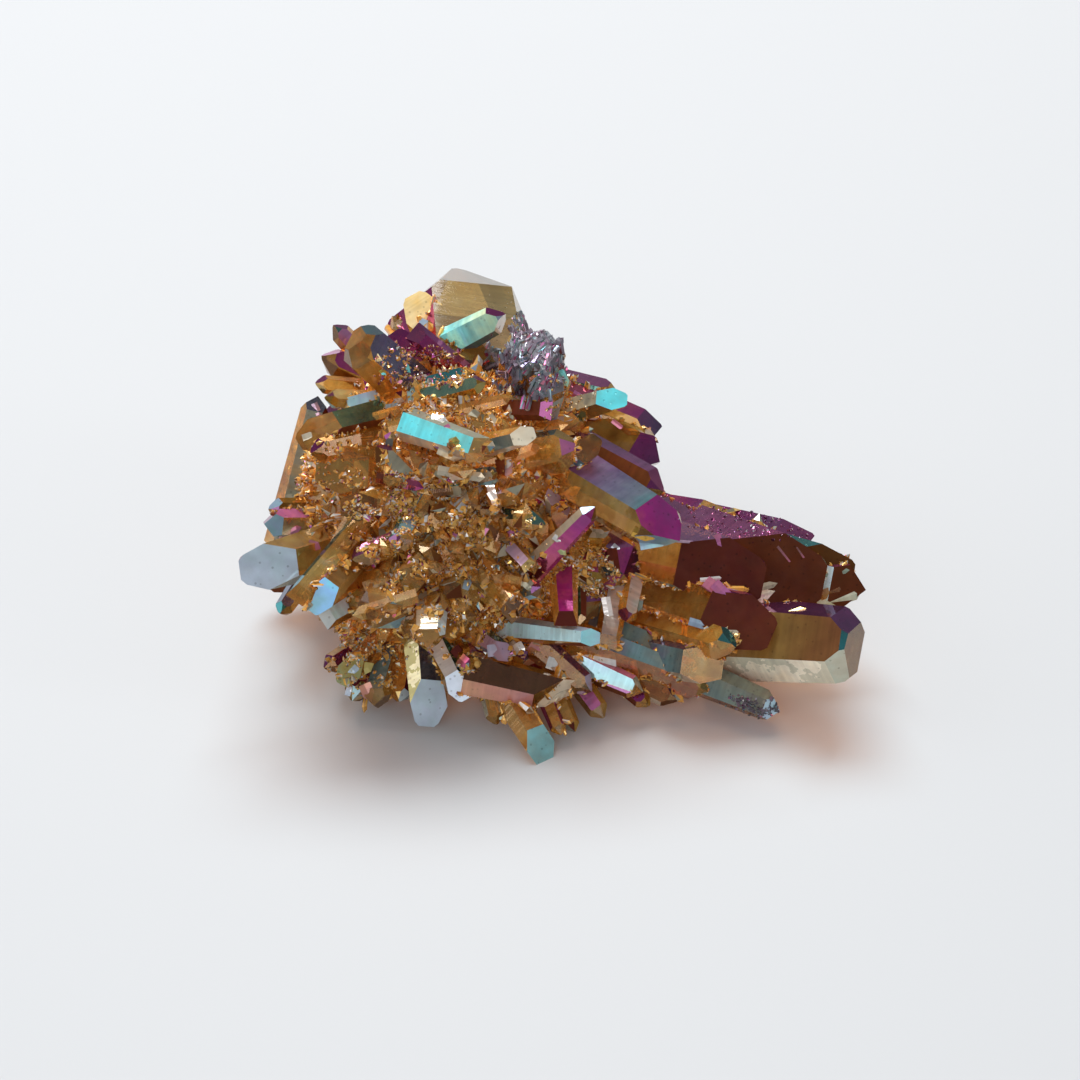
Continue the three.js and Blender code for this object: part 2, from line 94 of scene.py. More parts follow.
# The root mass that the crystals grow from
MASS_CENTRE = np.array((-13.34, -1.11, 14)) * MM
MASS_RADII = np.array((19.5, 17, 19.5)) * MM

chance = np.random.default_rng(11)


# Camera, table and light

TABLE_SIDE = 6
PAPER = (0.6, 0.61, 0.62)
PAPER_ROUGHNESS = 0.6
BACKDROP = (0.9, 0.94, 1)
BACKDROP_STRENGTH = 0.28

# Where each softbox stands and what it faces, its width and height, its watts and its colour
LIGHTS = {
    "overhead": ((-0.1, 0.62, 1.0), (0, 0, 0.01), (0.95, 0.55), 16, (1, 1, 1)),
    "front_fill": ((-0.25, -0.9, 0.75), (0, 0, 0.01), (0.9, 0.5), 2.4, (1, 1, 1)),
    "left_window": ((-0.7, 0.05, 0.3), (0, 0, 0.02), (0.45, 0.5), 1.1, (0.92, 0.96, 1)),
    "right_card": ((0.6, -0.15, 0.3), (0, 0, 0.02), (0.12, 0.3), 0.4, (1, 0.97, 0.93)),
}


def stood_up(name, data, place, way):
    """A camera or light at a place, looking along a way."""
    stand = bpy.data.objects.new(name, data)
    bpy.context.scene.collection.objects.link(stand)
    stand.location = place
    stand.rotation_mode = "QUATERNION"
    stand.rotation_quaternion = way.to_track_quat("-Z", "Y")
    return stand


def make_camera():
    camera = bpy.data.cameras.new("photo_view")
    camera.sensor_width = SENSOR_WIDTH_MM
    half_side = PHOTO_SIDE_PX / 2 * PIXEL
    camera.lens = SENSOR_WIDTH_MM / 2 * VIEW_DISTANCE / half_side
    camera.clip_start = NEAR_CLIP
    camera.clip_end = FAR_CLIP
    bpy.context.scene.camera = stood_up("photo_view", camera, EYE, -TOWARDS)


def make_table():
    bpy.ops.mesh.primitive_plane_add(size=TABLE_SIDE, location=(0, 0, 0))
    table = bpy.context.object
    table.name = "table"
    paper = bpy.data.materials.new("white_paper")
    paper.use_nodes = True
    shader = paper.node_tree.nodes["Principled BSDF"]
    shader.inputs["Base Color"].default_value = (*PAPER, 1)
    shader.inputs["Roughness"].default_value = PAPER_ROUGHNESS
    table.data.materials.append(paper)


def make_light():
    for name, (place, aim, size, watts, colour) in LIGHTS.items():
        light = bpy.data.lights.new(name, "AREA")
        light.shape = "RECTANGLE"
        light.size, light.size_y = size
        light.energy = watts
        light.color = colour
        stood_up(name, light, place, Vector(aim) - Vector(place))
    world = bpy.data.worlds.new("studio")
    world.use_nodes = True
    backdrop = world.node_tree.nodes["Background"]
    backdrop.inputs["Color"].default_value = (*BACKDROP, 1)
    backdrop.inputs["Strength"].default_value = BACKDROP_STRENGTH
    bpy.context.scene.world = world


# The cluster's facets and crystals, found from its own edges

WELD = 1e-7  # corners closer than this are one
FLAT = math.cos(math.radians(1.5))  # triangles that meet flatter than this are one facet
SLIVER = 0.02 * MM  # a triangle lower than this takes its neighbour's facet
MASS_BAND = 0.1  # how near the mass's surface its own faces lie, in radii,
MASS_FACING = 0.86  # and how straight out they face

# The least that an area or a length counts as when it divides
LEAST_AREA = 1e-15
LEAST_LENGTH = 1e-12
LEAST_CRYSTAL = 1e-9


def dots(first, second):
    """The dot product of each pair of rows."""
    return np.einsum("ij,ij->i", first, second)


def merged_copy(name):
    """The node's mesh as a new piece, with its loose triangles joined."""
    bpy.ops.object.select_all(action="DESELECT")
    node = frame["nodes"][name]
    node.select_set(True)
    bpy.context.view_layer.objects.active = node
    bpy.ops.object.duplicate()
    copy = bpy.context.object
    copy.parent = None
    copy.matrix_world = Matrix.Identity(4)
    if copy.data.has_custom_normals:
        bpy.ops.mesh.customdata_custom_splitnormals_clear()
    bpy.ops.object.mode_set(mode="EDIT")
    bpy.ops.mesh.select_all(action="SELECT")
    bpy.ops.mesh.remove_doubles(threshold=WELD)
    bpy.ops.object.mode_set(mode="OBJECT")
    bpy.ops.object.shade_flat()
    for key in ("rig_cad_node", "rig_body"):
        if key in copy:
            del copy[key]
    return copy


class Joined:
    """Things that are found to belong together, pair by pair."""

    def __init__(self, count):
        self.head = list(range(count))

    def find(self, i):
        while self.head[i] != i:
            self.head[i] = self.head[self.head[i]]
            i = self.head[i]
        return i

    def join(self, i, j):
        self.head[self.find(i)] = self.find(j)

    def numbers(self):
        return np.unique([self.find(i) for i in range(len(self.head))], return_inverse=True)[1]


class Facets:
    """The flat facets of a closed mesh, and its crystals. Crystals that grew through each other meet in an
    inner corner, so facets that meet in an outer corner belong to the same crystal."""

    def __init__(self, mesh):
        place = np.empty(len(mesh.vertices) * 3)
        mesh.vertices.foreach_get("co", place)
        corner = np.empty(len(mesh.loops), int)
        mesh.loops.foreach_get("vertex_index", corner)
        self.place = place.reshape(-1, 3)
        self.corners = corner.reshape(-1, 3)
        a, b, c = (self.place[self.corners[:, k]] for k in range(3))
        cross = np.cross(b - a, c - a)
        size = np.linalg.norm(cross, axis=1)
        self.area = size / 2
        self.normal = cross / np.maximum(size, LEAST_AREA)[:, None]
        self.middle = (a + b + c) / 3
        longest = np.max([np.linalg.norm(q - p, axis=1) for p, q in ((a, b), (b, c), (c, a))], axis=0)
        self.thin = size / np.maximum(longest, LEAST_LENGTH) < SLIVER
        self.find_edges()
        self.find_facets()
        self.measure_facets()
        self.measure_crystals()
        self.find_mass()

    def find_edges(self):
        """Each edge once, with the triangle on either side of it."""
        ends = np.concatenate([self.corners[:, [k, (k + 1) % 3]] for k in range(3)])
        face = np.tile(np.arange(len(self.corners)), 3)
        key = np.sort(ends, axis=1)
        order = np.lexsort((key[:, 1], key[:, 0]))
        same = np.all(key[order][1:] == key[order][:-1], axis=1)
        first = np.flatnonzero(same)
        self.ends = key[order][first]
        self.sides = np.stack([face[order][first], face[order][first + 1]], axis=1)
        self.run = self.place[self.ends[:, 1]] - self.place[self.ends[:, 0]]
        self.length = np.linalg.norm(self.run, axis=1)
        left, right = self.sides.T
        rise = dots(self.normal[left], self.middle[right] - self.place[self.ends[:, 0]])
        self.coplanar = dots(self.normal[left], self.normal[right]) > FLAT
        self.inner = ~self.coplanar & (rise > 0)

    def find_facets(self):
        """Number the facets and crystals. A sliver joins the neighbour along its longest edge."""
        facets = Joined(len(self.corners))
        crystals = Joined(len(self.corners))
        thin = self.thin[self.sides].any(axis=1)
        for (i, j), flat, inner, sliver in zip(self.sides, self.coplanar, self.inner, thin):
            if sliver:
                continue
            if flat:
                facets.join(i, j)
            if not inner:
                crystals.join(i, j)
        for n in np.flatnonzero(thin)[np.argsort(-self.length[thin])]:
            i, j = self.sides[n]
            loose = [t for t in (i, j) if self.thin[t] and facets.find(t) == t]
            if loose:
                facets.join(loose[0], i + j - loose[0])
                crystals.join(loose[0], i + j - loose[0])
        self.facet = facets.numbers()
        self.crystal = crystals.numbers()

    def summed(self, vectors, numbers):
        """Each face's vector, weighed by its area and summed by facet or crystal."""
        weighed = vectors * self.area[:, None]
        count = numbers.max() + 1
        return np.stack([np.bincount(numbers, weighed[:, k], count) for k in range(3)], axis=1)

    def measure_facets(self):
        normal = self.summed(self.normal, self.facet)
        self.facet_normal = normal / np.maximum(np.linalg.norm(normal, axis=1), LEAST_AREA)[:, None]

    def measure_crystals(self):
        """Each crystal's long axis, which its outer corners run along, and how far up it each corner lies."""
        count = self.crystal.max() + 1
        middle = self.summed(self.middle, self.crystal) / np.bincount(self.crystal, self.area, count)[:, None]
        spread = np.zeros((count, 3, 3))
        own = ~self.coplanar & ~self.inner
        np.add.at(spread, self.crystal[self.sides[own, 0]],
                  np.einsum("ni,nj->nij", self.run[own], self.run[own]) * self.length[own, None, None])
        self.axis = np.linalg.eigh(spread)[1][:, :, 2]
        self.axis[dots(self.axis, middle - MASS_CENTRE) < 0] *= -1
        along = np.einsum("nkj,nj->nk", self.place[self.corners], self.axis[self.crystal])
        low = np.full(count, np.inf)
        high = np.full(count, -np.inf)
        np.minimum.at(low, self.crystal, along.min(axis=1))
        np.maximum.at(high, self.crystal, along.max(axis=1))
        length = np.maximum(high - low, LEAST_CRYSTAL)
        self.along = (along - low[self.crystal, None]) / length[self.crystal, None]

    def find_mass(self):
        """The faces that are the bare root mass, and not a crystal."""
        out = (self.middle - MASS_CENTRE) / MASS_RADII
        reach = np.linalg.norm(out, axis=1)
        straight = dots(self.normal, out / reach[:, None])
        self.on_mass = (np.abs(reach - 1) < MASS_BAND) & (straight > MASS_FACING)


# Film colours, in the order in which a film shows them as it thickens, and how thick it is for each

FILM = {
    "straw": (0.00, (0.92, 0.76, 0.42)),
    "gold": (0.09, (0.84, 0.50, 0.09)),
    "amber": (0.17, (0.62, 0.25, 0.035)),
    "copper": (0.25, (0.55, 0.13, 0.035)),
    "garnet": (0.32, (0.34, 0.035, 0.04)),
    "rose": (0.38, (0.88, 0.14, 0.30)),
    "magenta": (0.45, (0.62, 0.04, 0.36)),
    "violet": (0.53, (0.34, 0.08, 0.31)),
    "indigo": (0.60, (0.16, 0.10, 0.28)),
    "slate": (0.65, (0.12, 0.17, 0.26)),
    "petrol": (0.69, (0.05, 0.30, 0.33)),
    "blue": (0.75, (0.10, 0.40, 0.80)),
    "cyan": (0.80, (0.02, 0.72, 0.80)),
    "teal": (0.86, (0.05, 0.40, 0.36)),
    "green": (0.91, (0.40, 0.66, 0.38)),
    "olive": (0.97, (0.44, 0.36, 0.08)),
}
PALE = (0.82, 0.84, 0.88)

# The honey body's colours, from its dark clouds to its bright cracks
HONEY = (
    (0.28, (0.28, 0.08, 0.01)),
    (0.44, (0.78, 0.36, 0.06)),
    (0.60, (0.95, 0.60, 0.15)),
    (0.78, (0.98, 0.80, 0.42)),
)

# How a facet looks: its finish, its film at the crystal's foot and at its tip, how pale it is, and its shade,
# a factor on its brightness that carries the painted light and shade marked below
LOOKS = {
    "smoky": ("smoky", "straw", "straw", 0.35, 0.42),
    "smoky_gold": ("smoky", "straw", "gold", 0.0, 0.5),
    # The next four looks have a shade above 1: partly their own bright film, partly painted light on faces
    # that turn from the lamps
    "yellow": ("pale", "straw", "straw", 0.05, 1.25),
    "cyan": ("pale", "cyan", "cyan", 0.15, 1.35),
    "cyan_green": ("pale", "cyan", "green", 0.2, 1.35),
    "azure_painted_light": ("pale", "cyan", "blue", 0.15, 1.35),
    "sky": ("bright", "blue", "cyan", 0.55, 0.85),
    # Sky colours brightened for faces that look down or at the viewer: painted light
    "sky_low_painted_light": ("pale", "blue", "cyan", 0.6, 1.15),
    "teal": ("film", "teal", "teal", 0.15, 0.5),
    "violet_teal": ("dull", "magenta", "petrol", 0.1, 0.34),
    "magenta": ("bright", "magenta", "magenta", 0.0, 0.65),
    "magenta_bar": ("bright", "magenta", "rose", 0.0, 0.6),
    "maroon": ("film", "garnet", "violet", 0.05, 0.6),
    "rose": ("bright", "rose", "magenta", 0.2, 0.8),
    "lilac": ("bright", "violet", "magenta", 0.55, 0.9),
    "plum": ("film", "violet", "magenta", 0.16, 0.6),
    "slate": ("film", "slate", "slate", 0.15, 0.8),
    "peach": ("body", "rose", "straw", 0.3, 1.2),
    "gold": ("film", "gold", "gold", 0.0, 0.7),
    "ochre": ("body", "gold", "olive", 0.0, 0.9),
    "amber": ("body", "amber", "gold", 0.0, 1.0),
    "orange": ("body", "copper", "amber", 0.0, 1.0),
    "brown": ("body", "copper", "amber", 0.0, 0.5),
    # A dark film, its darkness partly painted shade on faces that turn from the lamps and in the gaps between
    # grains
    "dark": ("dull", "copper", "copper", 0.0, 0.26),
    "red": ("body", "garnet", "rose", 0.0, 0.6),
    "olive": ("body", "olive", "straw", 0.0, 0.8),
    "olive_brown": ("dull", "straw", "copper", 0.05, 0.27),
    "grey": ("bright", "slate", "straw", 0.5, 0.42),
    "grey_dark": ("film", "copper", "copper", 0.15, 0.3),
    "salmon": ("pale", "copper", "rose", 0.2, 1.2),
    "ice": ("bright", "blue", "cyan", 0.8, 0.9),
    # Ice colours brightened for faces that look down or at the viewer: painted light
    "ice_low_painted_light": ("pale", "cyan", "cyan", 0.75, 1.3),
    "foot_cyan": ("pale", "cyan", "cyan", 0.35, 1.0),
    # A pale film that also stands for glints: painted highlight
    "white": ("bright", "straw", "straw", 0.8, 1.2),
    "cream": ("bright", "straw", "straw", 0.4, 0.7),
    # Cream brightened for faces that look down or at the viewer: painted light
    "cream_low_painted_light": ("pale", "straw", "straw", 0.45, 1.15),
    "clear": ("smoky", "straw", "straw", 0.9, 0.9),
    "rough": ("rough", "violet", "slate", 0.5, 0.36),
    "grain_honey": ("grain", "amber", "gold", 0.0, 1.35),
    "grain_brown": ("grain", "copper", "amber", 0.0, 0.42),
    "grain_gold": ("grain", "gold", "straw", 0.1, 1.3),
}

# The looks whose film changes from end to end of the facet, and not of the whole crystal
ALONG_THE_FACET = ("cyan", "cyan_green", "azure_painted_light", "violet_teal", "olive_brown", "teal")

# The facets that the photograph shows best, each under its look, by a pixel that it covers
FACETS = {
    "smoky": {"back_front": (490, 300), "back_top": (460, 274), "back_right": (522, 318)},
    "smoky_gold": {"back_left": (434, 310), "back_foot": (394, 320), "tiny_front": (398, 326)},
    "yellow": {"back_hexagon": (418, 305), "bar_end": (482, 386), "fan_high": (349, 671),
               "drop_upper": (417, 654)},
    "cyan": {"bright_front": (440, 432), "cap_face": (612, 395)},
    "cyan_green": {"slab_front": (480, 325), "slab_top": (476, 313)},
    "azure_painted_light": {"end_blue": (329, 589)},
    "sky": {"strip_top": (426, 320), "left_blue": (277, 523), "finger_tip": (717, 636),
            "blade_top": (544, 622), "plate_top": (605, 668), "lance_below": (659, 543)},
    "sky_low_painted_light": {"blade_front": (544, 631), "low_tip": (772, 709), "ice_upper": (340, 609),
                "fan_low_left": (357, 694)},
    "foot_cyan": {"foot_end": (541, 743)},
    "salmon": {"front_under": (500, 693)},
    "teal": {"bar_front": (450, 388), "bar_top": (445, 380), "bar_behind": (440, 376),
             "block_top": (357, 411)},
    "violet_teal": {"lance_top": (614, 481)},
    "magenta": {"lance_end": (655, 516), "stub_face": (562, 588)},
    "magenta_bar": {"bar_face": (559, 558), "bar_tip": (590, 513)},
    "maroon": {"rod_front": (440, 350), "rod_top": (436, 337), "rod_under": (425, 352),
               "ridge_tip": (645, 412), "striated_end": (645, 440), "magenta_bar_top": (575, 528),
               "block_end": (845, 619), "end_low": (652, 488), "ridge_side": (628, 409),
               "block_upper": (800, 609)},
    "rose": {"high_left": (345, 335), "low_left": (337, 353), "lance_root": (570, 448),
             "tall_foot": (291, 514), "knob": (600, 705)},
    "lilac": {"blade_left": (553, 498), "stripe": (508, 479), "chip_left": (490, 637),
              "chip_right": (502, 649), "blade_low": (517, 552), "violet_chip": (588, 675)},
    "plum": {"prong_top": (717, 516), "prong_top_far": (786, 526), "tip_top": (838, 566),
             "ridge_top": (590, 378), "under_lance_top": (631, 460), "under_end": (655, 474)},
    "slate": {"block_right": (385, 360), "block_back": (366, 328), "tall_tip": (314, 403),
              "chip_high": (556, 360)},
    "peach": {"left_low": (349, 394), "blunt_end": (369, 597), "blunt_upper": (377, 583),
              "fan_tip": (377, 694), "fan_upper": (366, 657), "bright_end": (477, 445), "fawn": (343, 377)},
    "gold": {"block_lower": (363, 429), "bar_under": (460, 398), "lance_edge": (614, 529),
             "cap_under": (590, 416)},
    "ochre": {"lance_front": (597, 502), "rose_top": (717, 586), "tall_left": (283, 486),
              "foot_left": (512, 722), "rod_left": (331, 557), "band_end": (697, 664),
              "block_end_left": (320, 423)},
    "amber": {"slate_under": (375, 385), "slate_end": (357, 350), "finger_lower": (683, 636),
              "left_field": (351, 477), "left_field_end": (326, 509), "honey_a": (386, 494),
              "honey_b": (417, 554), "honey_c": (511, 525), "honey_d": (493, 576), "low_field": (474, 583),
              "high_field": (430, 405), "fan_right": (406, 677)},
    "orange": {"finger_top": (662, 626), "foot_right": (532, 715), "fan_middle": (389, 660),
               "knob_low": (655, 692), "ember": (489, 706), "finger_a": (553, 719),
               "finger_b": (572, 713), "finger_c": (567, 711)},
    "brown": {"step_left": (659, 560), "rose_left": (676, 591), "striated_top": (614, 429),
              "high_side": (334, 338), "low_side": (331, 363), "low_side_b": (346, 360),
              "gold_low": (349, 449), "far_brown": (289, 503), "end_side": (349, 571),
              "blade_end": (605, 634), "chip_side": (560, 668), "block_low_end": (323, 454),
              "block_low_side": (348, 442)},
    # Dark film on these faces, its darkness partly painted shade
    "dark": {"prong_front": (717, 564), "prong_front_far": (793, 564), "prong_tip": (834, 557),
             "window": (525, 408), "window_under": (522, 417), "rose_front": (738, 612),
             "stub_low": (562, 619), "stub_dark": (584, 598), "under_lance_front": (617, 467),
             "prong_end": (843, 590)},
    "red": {"spear": (614, 660), "spear_side": (635, 661), "spear_tip": (645, 684), "behind": (683, 691)},
    "olive": {"far_top": (300, 537), "blunt_low": (383, 623)},
    "olive_brown": {"block_front": (807, 636)},
    "grey": {"far_under": (289, 583), "band_top": (638, 643), "band_front": (669, 657),
             "low_front": (752, 695), "low_top": (745, 681), "pale_front": (495, 440),
             "slot_end": (523, 588), "band_left": (645, 655), "fan_grey": (374, 666), "hollow": (406, 523)},
    "grey_dark": {"front_block": (520, 675)},
    "ice": {"wedge_right": (443, 611), "bar_ice": (462, 504)},
    "ice_low_painted_light": {"far_end": (266, 563), "drop_end": (429, 694), "side_end": (457, 691),
                "ice_low_painted_light": (329, 614), "fan_low": (406, 694), "tip_left": (829, 579)},
    # Pale facets that also stand for glints: painted highlights
    "white": {"slab_tip": (500, 320), "side_front": (440, 654), "shard": (493, 495),
              "white_chip": (520, 649), "bright_top": (430, 413)},
    "cream": {"cap_left": (579, 403), "pale_tip": (520, 435), "bright_under": (430, 443),
              "wedge": (429, 614), "tall_right": (294, 477), "plate_a": (444, 473),
              "plate_b": (484, 473), "plate_c": (453, 488), "sparkly_left": (337, 649)},
    "cream_low_painted_light": {"front_end": (557, 693), "block_bottom": (769, 667), "block_corner": (838, 667)},
    "clear": {"pillar": (610, 619), "pillar_right": (631, 591)},
    "rough": {"stub_top": (531, 343), "stub_left": (509, 363), "stub_right": (560, 352),
              "stub_front": (546, 380)},
}


# Shader nodes

def add(tree, kind, **settings):
    node = tree.nodes.new(kind)
    for key, value in settings.items():
        setattr(node, key, value)
    return node


def feed(tree, socket, value):
    """Give a socket a number, a colour, or what another socket puts out."""
    if isinstance(value, tuple):
        socket.default_value = (*value, 1)
    elif isinstance(value, (int, float)):
        socket.default_value = value
    else:
        tree.links.new(value, socket)


def group(name, inputs, outputs):
    """A node group with its sockets made, and its two end nodes."""
    tree = bpy.data.node_groups.new(name, "ShaderNodeTree")
    for socket, kind, value in inputs:
        made = tree.interface.new_socket(socket, in_out="INPUT", socket_type="NodeSocket" + kind)
        if value is not None:
            made.default_value = value
    for socket, kind in outputs:
        tree.interface.new_socket(socket, in_out="OUTPUT", socket_type="NodeSocket" + kind)
    return tree, add(tree, "NodeGroupInput"), add(tree, "NodeGroupOutput")


def placed_group(tree, shared, **values):
    node = add(tree, "ShaderNodeGroup", node_tree=shared)
    for name, value in values.items():
        feed(tree, node.inputs[name], value)
    return node.outputs[0]


def maths(tree, operation, *values):
    node = add(tree, "ShaderNodeMath", operation=operation)
    for socket, value in zip(node.inputs, values):
        feed(tree, socket, value)
    return node.outputs[0]


def colour_ramp(tree, stops, factor):
    node = add(tree, "ShaderNodeValToRGB")
    elements = node.color_ramp.elements
    while len(elements) > 1:
        elements.remove(elements[-1])
    for n, (place, colour) in enumerate(stops):
        element = elements[0] if n == 0 else elements.new(place)
        element.position = place
        element.color = (*colour, 1)
    feed(tree, node.inputs["Fac"], factor)
    return node.outputs["Color"]


def mixed(tree, share, first, second, blend="MIX"):
    node = add(tree, "ShaderNodeMix", data_type="RGBA", blend_type=blend)
    colours = [socket for socket in node.inputs if socket.type == "RGBA"]
    for socket, value in zip([node.inputs["Factor"], *colours], (share, first, second)):
        feed(tree, socket, value)
    return [socket for socket in node.outputs if socket.type == "RGBA"][0]


def cloud(tree, vector, waves, detail=3.0, rough=0.55):
    """Soft noise about 0.5, with so many waves over a metre."""
    node = add(tree, "ShaderNodeTexNoise")
    feed(tree, node.inputs["Vector"], vector)
    node.inputs["Scale"].default_value = waves
    node.inputs["Detail"].default_value = detail
    node.inputs["Roughness"].default_value = rough
    return node.outputs["Fac"]


def attribute(tree, name, output="Fac"):
    return add(tree, "ShaderNodeAttribute", attribute_name=name).outputs[output]


# Shared effects: the film's colour and the growth lines. Waves and cells are counted over a metre

DRIFT_WAVES = 160  # broad drift of the film's thickness
FINE_DRIFT_WAVES = 900
FINE_DRIFT = 0.35  # as a share of the broad one
BODY_WAVES = 240  # clouds and cracks in the honey body
MOTTLE_WAVES = 420  # small changes of brightness
MOTTLE = 0.6
LINE_WAVES = 1500  # growth lines
SWELL_WAVES = 300
SWELL = 0.7  # as a share of the growth lines
PIT_CELLS = 1100
PIT_RADIUS = 0.16  # in cells
PIT_DEPTH = 0.5  # as a share of the growth lines


def film_group():
    """The colour of a face: a film whose thickness drifts over it and hardly shows where it is pale, and
    under the film the honey body, which clouds darken and bright cracks lighten."""
    tree, given, made = group(
        "film_colour",
        [("Position", "Vector", None), ("Film", "Float", 0.2), ("Pale", "Float", 0.0),
         ("Shade", "Float", 1.0), ("Drift", "Float", 0.1), ("Honey", "Float", 0.0)],
        [("Color", "Color")],
    )
    position = given.outputs["Position"]
    broad = maths(tree, "SUBTRACT", cloud(tree, position, DRIFT_WAVES), 0.5)
    fine = maths(tree, "SUBTRACT", cloud(tree, position, FINE_DRIFT_WAVES, 2.0), 0.5)
    drift = maths(tree, "ADD", broad, maths(tree, "MULTIPLY", fine, FINE_DRIFT))
    drift = maths(tree, "MULTIPLY", drift, given.outputs["Drift"])
    thickness = maths(tree, "ADD", given.outputs["Film"], drift)
    film = colour_ramp(tree, FILM.values(), maths(tree, "FRACT", thickness))
    seen = mixed(tree, given.outputs["Pale"], film, PALE)
    body = colour_ramp(tree, HONEY, cloud(tree, position, BODY_WAVES, 5.0, 0.65))
    seen = mixed(tree, given.outputs["Honey"], seen, body)
    mottle = maths(tree, "MULTIPLY", cloud(tree, position, MOTTLE_WAVES, 4.0), MOTTLE)
    mottle = maths(tree, "ADD", mottle, 1 - MOTTLE / 2)
    shade = maths(tree, "MULTIPLY", given.outputs["Shade"], mottle)
    grey = add(tree, "ShaderNodeCombineColor")
    for socket in grey.inputs:
        feed(tree, socket, shade)
    feed(tree, made.inputs["Color"], mixed(tree, 1.0, seen, grey.outputs[0], "MULTIPLY"))
    return tree


def growth_group():
    """The height of a crystal's faces: growth lines across its long axis, and shallow pits and swells."""
    tree, given, made = group(
        "growth_lines",
        [("Position", "Vector", None), ("Axis", "Vector", None), ("Side", "Float", 1.0)],
        [("Height", "Float")],
    )
    position = given.outputs["Position"]
    up = add(tree, "ShaderNodeVectorMath", operation="DOT_PRODUCT")
    feed(tree, up.inputs[0], position)
    feed(tree, up.inputs[1], given.outputs["Axis"])
    lines = add(tree, "ShaderNodeTexNoise", noise_dimensions="1D")
    feed(tree, lines.inputs["W"], up.outputs["Value"])
    lines.inputs["Scale"].default_value = LINE_WAVES
    lines.inputs["Detail"].default_value = 4
    steps = maths(tree, "MULTIPLY", lines.outputs["Fac"], given.outputs["Side"])
    swell = maths(tree, "MULTIPLY", cloud(tree, position, SWELL_WAVES, 2.0), SWELL)
    pits = add(tree, "ShaderNodeTexVoronoi", feature="F1")
    feed(tree, pits.inputs["Vector"], position)
    pits.inputs["Scale"].default_value = PIT_CELLS
    in_pit = maths(tree, "LESS_THAN", pits.outputs["Distance"], PIT_RADIUS)
    hollow = maths(tree, "MULTIPLY", in_pit, -PIT_DEPTH)
    feed(tree, made.inputs["Height"], maths(tree, "ADD", maths(tree, "ADD", steps, swell), hollow))
    return tree


film_colour = film_group()
growth_lines = growth_group()


# Finishes

# Partly the growth lines' own tone, partly painted shade in the pits and grooves
LINE_AND_PIT_SHADE = 0.5  # how much darker a face is in its growth lines and pits
MEAN_HEIGHT = 0.75  # the height at which a face keeps its own shade
BUMP_HEIGHT = 0.06 * MM
SMEAR_WAVES = 700  # smears that make a face shine unevenly
LEAST_ROUGH = 0.3  # roughness between the smears, as a share of the finish's
QUARTZ_IOR = 1.55


def crystal_finish(name, metal, clear, rough, honey, drift=0.1, bump=0.25, sheen=0.5,
                   shadow=(0.62, 0.42, 0.3)):
    """A crystal face's material. `metal` and `clear` are plain shares, `honey` is how far the amber body
    shows through the film's colour, `drift` how far the film's thickness wanders, `sheen` how much the part
    that is no metal mirrors, and `shadow` what it lets through of the light that casts shadows."""
    material = bpy.data.materials.new(name)
    material.use_nodes = True
    tree = material.node_tree
    shader = tree.nodes["Principled BSDF"]
    position = add(tree, "ShaderNodeTexCoord").outputs["Object"]
    height = placed_group(tree, growth_lines, Position=position, Axis=attribute(tree, "axis", "Vector"),
                          Side=attribute(tree, "side"))
    # The base colour darkens where the relief is low: partly the growth lines' own tone, partly painted shade
    # in the pits and grooves
    line_and_pit_shade = maths(tree, "MULTIPLY", height, LINE_AND_PIT_SHADE)
    line_and_pit_shade = maths(tree, "ADD", line_and_pit_shade, 1 - LINE_AND_PIT_SHADE * MEAN_HEIGHT)
    shade = maths(tree, "MULTIPLY", attribute(tree, "shade"), line_and_pit_shade)
    film = placed_group(tree, film_colour, Position=position, Film=attribute(tree, "film"), Honey=honey,
                        Pale=attribute(tree, "pale"), Shade=shade, Drift=drift)
    feed(tree, shader.inputs["Base Color"], film)
    smears = maths(tree, "MULTIPLY", cloud(tree, position, SMEAR_WAVES), rough)
    feed(tree, shader.inputs["Roughness"], maths(tree, "ADD", smears, rough * LEAST_ROUGH))
    relief = add(tree, "ShaderNodeBump")
    relief.inputs["Strength"].default_value = bump
    relief.inputs["Distance"].default_value = BUMP_HEIGHT
    feed(tree, relief.inputs["Height"], height)
    feed(tree, shader.inputs["Normal"], relief.outputs["Normal"])
    shader.inputs["Metallic"].default_value = metal
    shader.inputs["Transmission Weight"].default_value = clear
    shader.inputs["Specular IOR Level"].default_value = sheen
    shader.inputs["IOR"].default_value = QUARTZ_IOR
    lets_through = add(tree, "ShaderNodeBsdfTransparent")
    lets_through.inputs["Color"].default_value = (*shadow, 1)
    either = add(tree, "ShaderNodeMixShader")
    feed(tree, either.inputs["Fac"], add(tree, "ShaderNodeLightPath").outputs["Is Shadow Ray"])
    feed(tree, either.inputs[1], shader.outputs["BSDF"])
    feed(tree, either.inputs[2], lets_through.outputs["BSDF"])
    feed(tree, tree.nodes["Material Output"].inputs["Surface"], either.outputs["Shader"])
    return material


